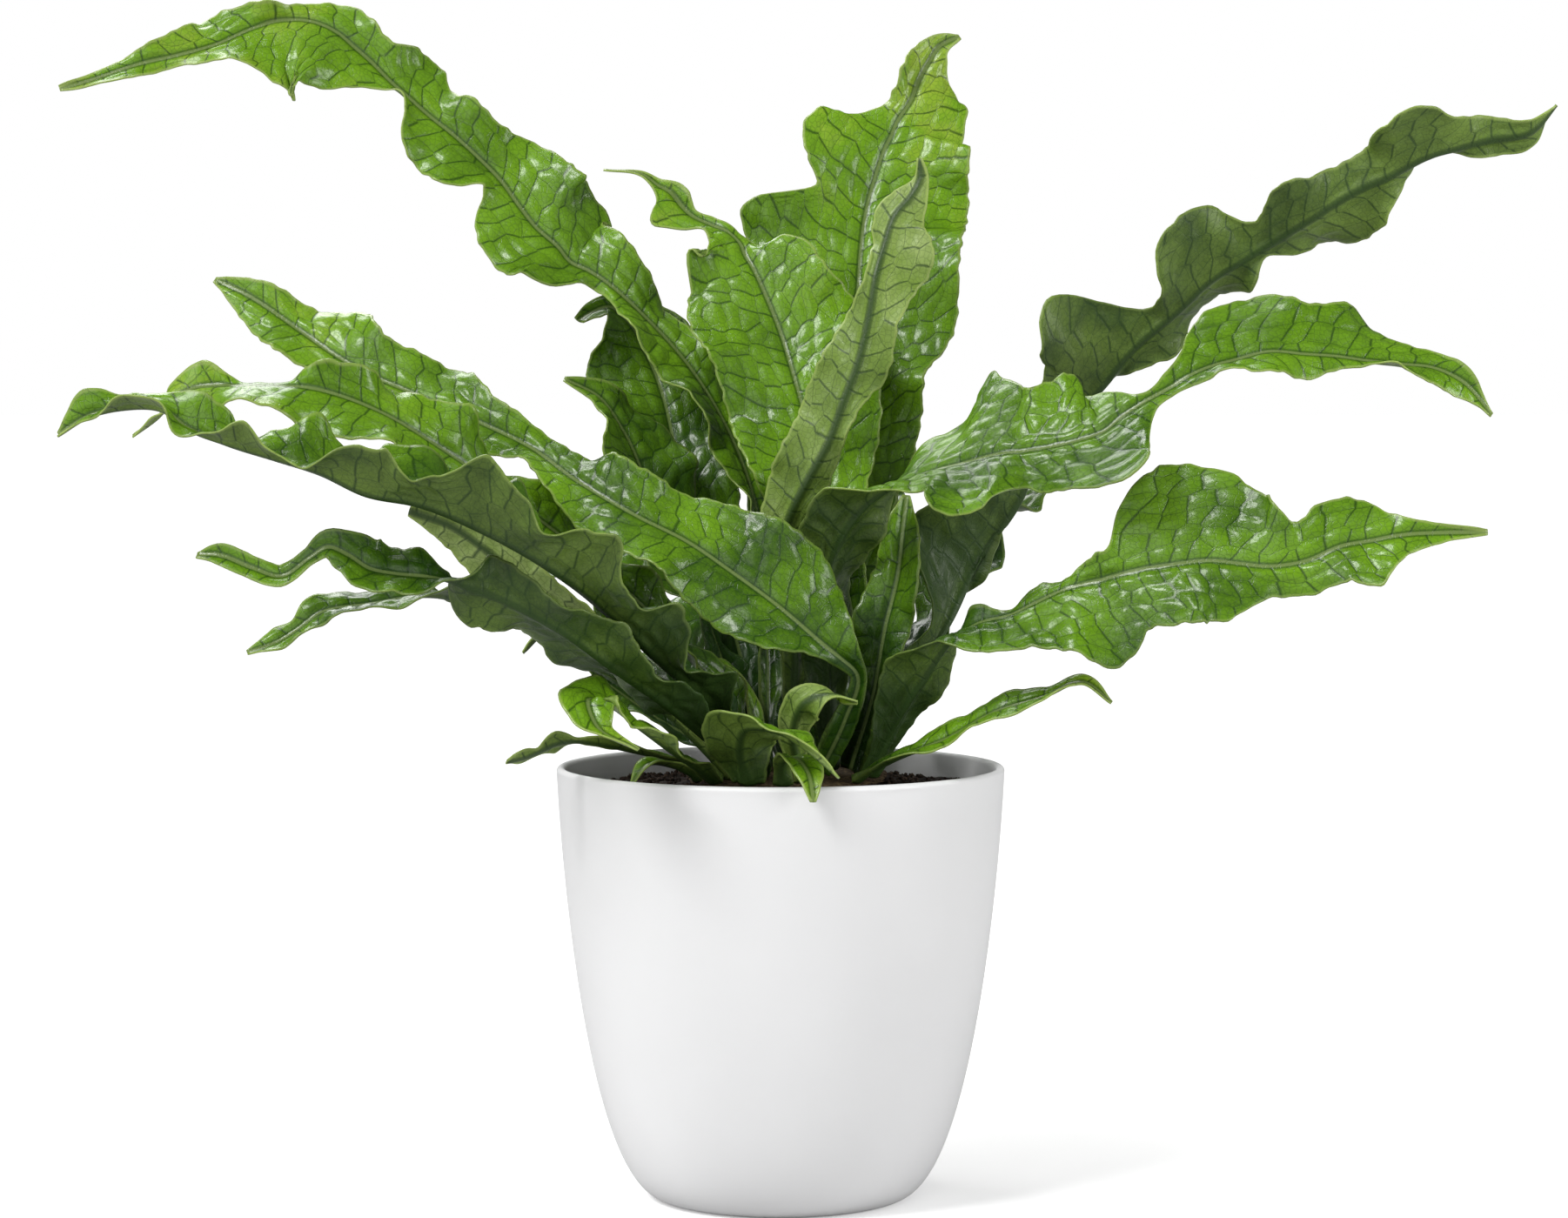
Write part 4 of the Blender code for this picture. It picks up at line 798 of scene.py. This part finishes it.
# %% All the fronds
SLOTS = {row["node"]: row["material_slot"] for row in frame["record"]["subparts"]}
SLOT_TONES = {"frond_bright": 0.68, "frond_deep": 0.26, "frond_young": 0.95}
OWN_TONES = {
    "frond_right_high": 0.38, "frond_right_front_arch": 0.50, "frond_left_pale": 1.25,
    "frond_right_low": 0.50, "frond_centre_young": 0.85, "frond_front_left_long": 0.40,
    "frond_front_left_broad": 0.58,
}
faces = 0
for frond_name, frond_rows in FRONDS.items():
    slot_name = SLOTS[frond_name]
    frond_tone = OWN_TONES.get(frond_name, SLOT_TONES[slot_name])
    made_frond = make_frond(frond_name, frond_rows, frond_tone)
    faces += len(made_frond.data.polygons)
print("frond faces:", faces)

# %% [markdown]
# ## The planter
# The real planter is moulded in one piece: a thin wall that drops almost straight and sweeps in
# to a flat base, with a rounded lip. It is turned from one profile with spin, like the solid,
# but with many more steps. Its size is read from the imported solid.

# %% Planter shape
POT_LOW, POT_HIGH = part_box("pot")
RIM_RADIUS = POT_HIGH.x
POT_HEIGHT = POT_HIGH.z
BASE_RADIUS = 48 * MM
WALL = 3.6 * MM
FLOOR = 5 * MM
SHOULDER_DROP = 32 * MM
SHOULDER_INSET = 1 * MM
FOOT_PULL = 32 * MM
PROFILE_STEPS = 48
LIP_STEP = 15
SPIN_STEPS = 192


def pot_curve(t, inset=0.0):
    """A point (radius, height) of the outer curve, t from 0 at the rim to 1 at the base."""
    corners = (
        Vector((RIM_RADIUS - inset, POT_HEIGHT)),
        Vector((RIM_RADIUS - SHOULDER_INSET - inset, POT_HEIGHT - SHOULDER_DROP)),
        Vector((BASE_RADIUS + FOOT_PULL - inset, inset)),
        Vector((BASE_RADIUS - inset, inset)),
    )
    weights = ((1 - t) ** 3, 3 * t * (1 - t) ** 2, 3 * t * t * (1 - t), t ** 3)
    return sum((corner * weight for corner, weight in zip(corners, weights)), Vector((0.0, 0.0)))


def turned(name, profile, steps, *materials):
    """Spins a profile of (radius, height) points, from axis to axis, into a closed body."""
    bm = bmesh.new()
    verts = [bm.verts.new((radius, 0.0, height)) for radius, height in profile]
    edges = [bm.edges.new(pair) for pair in zip(verts, verts[1:])]
    bmesh.ops.spin(bm, geom=verts + edges, cent=(0, 0, 0), axis=(0, 0, 1), angle=math.tau,
                   steps=steps, use_merge=True, use_duplicate=False)
    bmesh.ops.remove_doubles(bm, verts=bm.verts, dist=1e-6)
    bmesh.ops.recalc_face_normals(bm, faces=bm.faces)
    return add_mesh(name, bm, *materials)


def planter_profile():
    """Base, outer curve, rounded lip, inner wall and floor."""
    steps = PROFILE_STEPS
    outer = [pot_curve(1 - i / steps) for i in range(steps)]
    lip = WALL / 2
    lip_start = POT_HEIGHT - lip * 1.05
    arc = [
        Vector((RIM_RADIUS - lip + lip * math.cos(a), POT_HEIGHT - lip + lip * math.sin(a)))
        for a in (math.radians(d) for d in range(0, 181, LIP_STEP))
    ]
    inner = [pot_curve(i / steps, inset=WALL) for i in range(2, steps)]
    outer = [point for point in outer if point.y < lip_start]
    inner = [point for point in inner if FLOOR < point.y < lip_start]
    corner = Vector((BASE_RADIUS - WALL, FLOOR))
    return [Vector((0, 0)), *outer, *arc, *inner, corner, Vector((0, FLOOR))]


print("planter profile points:", len(planter_profile()))

# %% [markdown]
# The planter is a satin white plastic. Moulded plastic is never quite even: its sheen drifts and
# fine pores break the highlight. A little light also goes into the wall and comes out again
# nearby, which softens the shading, so the shader scatters light a few millimetres deep.

# %% Planter material
PLANTER_WHITES = ((0.80, 0.80, 0.805), (0.83, 0.83, 0.835))
PLANTER_SHEEN = (0.40, 0.50)
SCATTER_DEPTH = 4 * MM


def planter_material():
    """Satin white plastic with a drifting sheen and a very fine pore texture."""
    made = bpy.data.materials.new("planter_white_plastic")
    made.use_nodes = True
    tree = made.node_tree
    shader = tree.nodes["Principled BSDF"]
    shader.inputs["Subsurface Weight"].default_value = 0.5
    shader.inputs["Subsurface Radius"].default_value = (1.0, 1.0, 1.0)
    shader.inputs["Subsurface Scale"].default_value = SCATTER_DEPTH
    place = node(tree, "ShaderNodeTexCoord", output=3)
    cloud = node(tree, "ShaderNodeTexNoise", {"Vector": place, "Scale": 9.0, "Detail": 3.0})
    pores = node(tree, "ShaderNodeTexNoise", {"Vector": place, "Scale": 1400.0, "Detail": 2.0})
    colour = mix(tree, ramp(tree, cloud, 0.3, 0.7), *PLANTER_WHITES)
    tree.links.new(colour, shader.inputs["Base Color"])
    tree.links.new(ramp(tree, cloud, 0.3, 0.7, *PLANTER_SHEEN), shader.inputs["Roughness"])
    bump = node(tree, "ShaderNodeBump", {"Height": pores, "Strength": 0.12, "Distance": 0.0002})
    tree.links.new(bump, shader.inputs["Normal"])
    return made


planter = turned("planter_shell", planter_profile(), SPIN_STEPS, planter_material())
finish_piece(planter, ["pot"])
print("planter mm:", [round(side / MM) for side in POT_HIGH - POT_LOW])

# %% [markdown]
# ## Soil and rhizome
# Potting soil and the bark of a rhizome are both dark, rough and broken up. One function makes
# both finishes from two browns: noise mixes them, and the same noise roughens the surface, so
# that the light grains are also the raised ones.

# %% Soil and bark materials
def soil_material(name, dark, light, scale):
    """Crumbly earth: two browns mixed by noise, with a rough, broken surface."""
    made = bpy.data.materials.new(name)
    made.use_nodes = True
    tree = made.node_tree
    shader = tree.nodes["Principled BSDF"]
    shader.inputs["Specular IOR Level"].default_value = 0.25
    place = node(tree, "ShaderNodeTexCoord", output=3)
    grit = node(tree, "ShaderNodeTexNoise", {
        "Vector": place, "Scale": scale, "Detail": 6.0, "Roughness": 0.7})
    colour = mix(tree, ramp(tree, grit, 0.42, 0.68), dark, light)
    tree.links.new(colour, shader.inputs["Base Color"])
    tree.links.new(ramp(tree, grit, 0.3, 0.7, 0.98, 0.75), shader.inputs["Roughness"])
    bump = node(tree, "ShaderNodeBump", {"Height": grit, "Strength": 0.8, "Distance": 0.0012})
    tree.links.new(bump, shader.inputs["Normal"])
    return made


SOIL = soil_material("potting_soil_dark", (0.010, 0.006, 0.004), (0.055, 0.034, 0.020), 380.0)
CRUMB = soil_material("soil_crumb_brown", (0.016, 0.009, 0.006), (0.085, 0.052, 0.032), 700.0)
BARK = soil_material("rhizome_bark", (0.030, 0.018, 0.008), (0.16, 0.11, 0.045), 500.0)
print("earth materials:", SOIL.name, CRUMB.name, BARK.name)

# %% [markdown]
# The soil is heaped a little towards the middle and is uneven all over. A fine disc is turned
# from one line of vertices, and two sizes of noise push it up and down. A skirt closes it
# underneath, out of sight in the planter.

# %% Soil surface
SOIL_LOW, SOIL_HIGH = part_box("potting_soil")
SOIL_RADIUS = SOIL_HIGH.x
SOIL_TOP = SOIL_HIGH.z
RAISED = 5 * MM
CLOD = 1.5 * MM
CLOD_SCALE = 90
LUMP = 0.9 * MM
LUMP_SCALE = 260
SUNK = 0.4 * MM
RINGS = 60
RING_STEPS = 180
SKIRT_DEPTH = 60 * MM
SKIRT_SHRINK = 0.9


def soil_height(x, y):
    """Height of the soil's surface: a low mound, with clods."""
    share = 1 - min(1.0, math.hypot(x, y) / RIM_RADIUS)
    mound = SOIL_TOP - RAISED + RAISED * min(1.0, 2 * share)
    clods = CLOD * noise.noise(Vector((x, y, 0.3)) * CLOD_SCALE)
    lumps = LUMP * noise.noise(Vector((x, y, 3)) * LUMP_SCALE)
    return mound + (clods + lumps) - SUNK


def make_soil():
    """A disc of rings, lifted by the soil's height, with a skirt down inside the planter."""
    bm = bmesh.new()
    verts = [bm.verts.new((SOIL_RADIUS * i / RINGS, 0.0, 0.0)) for i in range(RINGS + 1)]
    edges = [bm.edges.new(pair) for pair in zip(verts, verts[1:])]
    bmesh.ops.spin(bm, geom=verts + edges, cent=(0, 0, 0), axis=(0, 0, 1), angle=math.tau,
                   steps=RING_STEPS, use_merge=True, use_duplicate=False)
    bmesh.ops.remove_doubles(bm, verts=bm.verts, dist=1e-6)
    for vert in bm.verts:
        vert.co.z = soil_height(vert.co.x, vert.co.y)
    rim = [edge for edge in bm.edges if edge.is_boundary]
    skirt = bmesh.ops.extrude_edge_only(bm, edges=rim)["geom"]
    low = [item for item in skirt if isinstance(item, bmesh.types.BMVert)]
    for vert in low:
        inwards = vert.co * SKIRT_SHRINK
        vert.co = Vector((inwards.x, inwards.y, SOIL_TOP - SKIRT_DEPTH))
    bmesh.ops.holes_fill(bm, edges=[edge for edge in bm.edges if edge.is_boundary], sides=0)
    bmesh.ops.recalc_face_normals(bm, faces=bm.faces)
    return add_mesh("soil_body", bm, SOIL)


finish_piece(make_soil(), ["potting_soil"])
print("soil top mm:", round(SOIL_TOP / MM, 1))

# %% [markdown]
# Loose crumbs lie on the soil, more of them than anyone would place by hand. Each is an icosphere
# of 20 faces, squashed, turned and dented at random, and they are joined in one piece. The random
# numbers start from a fixed seed, so that every run scatters them alike.

# %% Crumbs
random.seed(7)
CRUMBS = 900
CLEAR_OF_WALL = 7 * MM
NEAREST_SHARE = 0.12
CRUMB_SIZES = (0.5, 1.7)
DENT = 0.22


def make_crumbs():
    """Small rough lumps spread over the soil, in one piece."""
    bm = bmesh.new()
    for _ in range(CRUMBS):
        angle = random.uniform(0, math.tau)
        radius = (RIM_RADIUS - CLEAR_OF_WALL) * math.sqrt(random.uniform(NEAREST_SHARE, 1.0))
        x = radius * math.cos(angle)
        y = radius * math.sin(angle)
        size = random.uniform(*CRUMB_SIZES) * MM
        place = Matrix.Translation((x, y, soil_height(x, y) + 0.3 * size))
        spun = random.uniform(0, math.tau)
        turn = Matrix.Rotation(spun, 4, Vector((random.random(), random.random(), 1)))
        shape = Matrix.Diagonal((1, random.uniform(0.6, 1), random.uniform(0.5, 0.9), 1))
        matrix = place @ turn @ shape
        made = bmesh.ops.create_icosphere(bm, subdivisions=1, radius=size, matrix=matrix)
        for vert in made["verts"]:
            vert.co += Vector([random.uniform(-DENT, DENT) * size for _ in range(3)])
    return add_mesh("soil_crumbs", bm, CRUMB)


finish_piece(make_crumbs(), [])
print("crumbs:", CRUMBS)

# %% [markdown]
# The rhizome is the creeping stem that every stalk grows from: a low, brown, lumpy cushion half
# sunk in the soil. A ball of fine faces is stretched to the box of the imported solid, and two
# sizes of noise make it lumpy.

# %% Rhizome
BROAD_LUMP = 0.10
SMALL_LUMP = 0.06
RHIZOME_RISE = 1.5


def make_rhizome():
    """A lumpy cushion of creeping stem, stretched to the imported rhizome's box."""
    low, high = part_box("rhizome")
    middle = (low + high) / 2
    half = (high - low) / 2
    bm = bmesh.new()
    bmesh.ops.create_icosphere(bm, subdivisions=5, radius=1.0)
    for vert in bm.verts:
        broad = BROAD_LUMP * noise.noise(vert.co * 2.3)
        lump = 1 + broad + SMALL_LUMP * noise.noise(vert.co * 9)
        rise = vert.co.z * half.z * RHIZOME_RISE
        flat = Vector((vert.co.x * half.x, vert.co.y * half.y, rise)) * lump
        vert.co = flat + middle
    return add_mesh("rhizome_cushion", bm, BARK)


finish_piece(make_rhizome(), ["rhizome"])

# %% [markdown]
# ## Studio
# The plant stands on a plain white floor that runs into a white surround. The floor is a large
# sheet. Seen directly it is white and glows a little, so that no horizon shows. For the light it
# throws back it counts as grey, or the planter and the undersides would be lit from below.

# %% Floor
FLOOR_SEEN = (0.95, 0.95, 0.95)
FLOOR_FOR_LIGHT = (0.42, 0.42, 0.42)
FLOOR_GLOW = (0.32, 0.32, 0.32)


def floor_material():
    """A plain pale floor that the camera sees white and that throws back less light."""
    made = bpy.data.materials.new("studio_floor")
    made.use_nodes = True
    tree = made.node_tree
    shader = tree.nodes["Principled BSDF"]
    shader.inputs["Roughness"].default_value = 0.8
    shader.inputs["Specular IOR Level"].default_value = 0.2
    seen_by_camera = node(tree, "ShaderNodeLightPath", output=0)
    colour = mix(tree, seen_by_camera, FLOOR_FOR_LIGHT, FLOOR_SEEN)
    tree.links.new(colour, shader.inputs["Base Color"])
    glow = mix(tree, seen_by_camera, (0.0, 0.0, 0.0), FLOOR_GLOW)
    tree.links.new(glow, shader.inputs["Emission Color"])
    shader.inputs["Emission Strength"].default_value = 1.0
    return made


floor_bm = bmesh.new()
bmesh.ops.create_grid(floor_bm, x_segments=1, y_segments=1, size=30.0)
floor = add_mesh("floor", floor_bm, floor_material())
print("floor:", floor.name)

# %% [markdown]
# The surround is white where it is seen, weaker where it only fills the shadows, and weakest in
# reflections, so that the waxy fronds keep their deep green between the highlights.

# %% Surround
SEEN_WHITE = 1.0
FILL = 0.31
MIRRORED = 0.10
world = bpy.data.worlds.new("white_surround")
bpy.context.scene.world = world
world.use_nodes = True
world_tree = world.node_tree
surround = world_tree.nodes["Background"]
seen = node(world_tree, "ShaderNodeLightPath", output=0)
mirrored = node(world_tree, "ShaderNodeLightPath", output=3)
unseen = ramp(world_tree, mirrored, 0.0, 1.0, FILL, MIRRORED)
strength = ramp(world_tree, seen, 0.0, 1.0, unseen, SEEN_WHITE)
world_tree.links.new(strength, surround.inputs["Strength"])
surround.inputs["Color"].default_value = (1.0, 1.0, 1.0, 1.0)
print("surround seen, fill, mirrored:", SEEN_WHITE, FILL, MIRRORED)

# %% [markdown]
# The key is a broad, far light from the upper left, in front, which lights the floor evenly out to
# the horizon and lays a soft shadow to the right. Four softboxes stand round the plant: they put
# the bright specks on the blistered blades and keep the shaded sides readable.

# %% Lights
def soft_light(name, place, target, size, power):
    """A square softbox that looks at its target."""
    data = bpy.data.lights.new(name, "AREA")
    data.size = size
    data.energy = power
    lamp = bpy.data.objects.new(name, data)
    lamp.location = place
    lamp.rotation_euler = (Vector(target) - Vector(place)).to_track_quat("-Z", "Y").to_euler()
    bpy.context.scene.collection.objects.link(lamp)
    return lamp


def sun_light(name, place, strength, spread):
    """A far, even light that leaves the floor equally bright everywhere."""
    data = bpy.data.lights.new(name, "SUN")
    data.energy = strength
    data.angle = math.radians(spread)
    lamp = bpy.data.objects.new(name, data)
    lamp.rotation_euler = Vector(place).to_track_quat("Z", "Y").to_euler()
    bpy.context.scene.collection.objects.link(lamp)
    return lamp


AIM = (0.0, 0.0, 0.25)
sun_light("key_even", (-0.72, -0.65, 1.0), 2.25, 22.0)
soft_light("side_softbox", (1.9, -1.0, 0.55), AIM, 1.0, 24.0)
soft_light("left_softbox", (-1.9, -0.8, 0.45), AIM, 1.0, 10.0)
soft_light("front_softbox", (-0.6, -2.0, 0.50), AIM, 1.0, 5.0)
soft_light("top_softbox", (-0.5, 0.9, 1.4), AIM, 0.8, 14.0)

# %% [markdown]
# The camera stands in front, a little above the middle of the plant, and looks slightly down, so
# that the planter's mouth shows as a thin ellipse. A long lens keeps the fronds that reach
# forward from looking swollen. Everything is in focus.

# %% Camera
CAMERA_BACK = 1.7
CAMERA_HEIGHT = 0.340
CAMERA_ASIDE = 0.0014
CAMERA_DIP = math.radians(3.287)
LENS = 95.3
SENSOR = 36.0
lens = bpy.data.cameras.new("camera")
lens.lens = LENS
lens.sensor_width = SENSOR
lens.clip_start = 0.05
camera = bpy.data.objects.new("camera", lens)
camera.location = (CAMERA_ASIDE, -CAMERA_BACK, CAMERA_HEIGHT)
camera.rotation_euler = (math.pi / 2 - CAMERA_DIP, 0.0, 0.0)
bpy.context.scene.collection.objects.link(camera)
bpy.context.scene.camera = camera
bpy.context.scene.view_settings.view_transform = "Standard"
print("camera mm back and up:", round(CAMERA_BACK / MM), round(CAMERA_HEIGHT / MM))
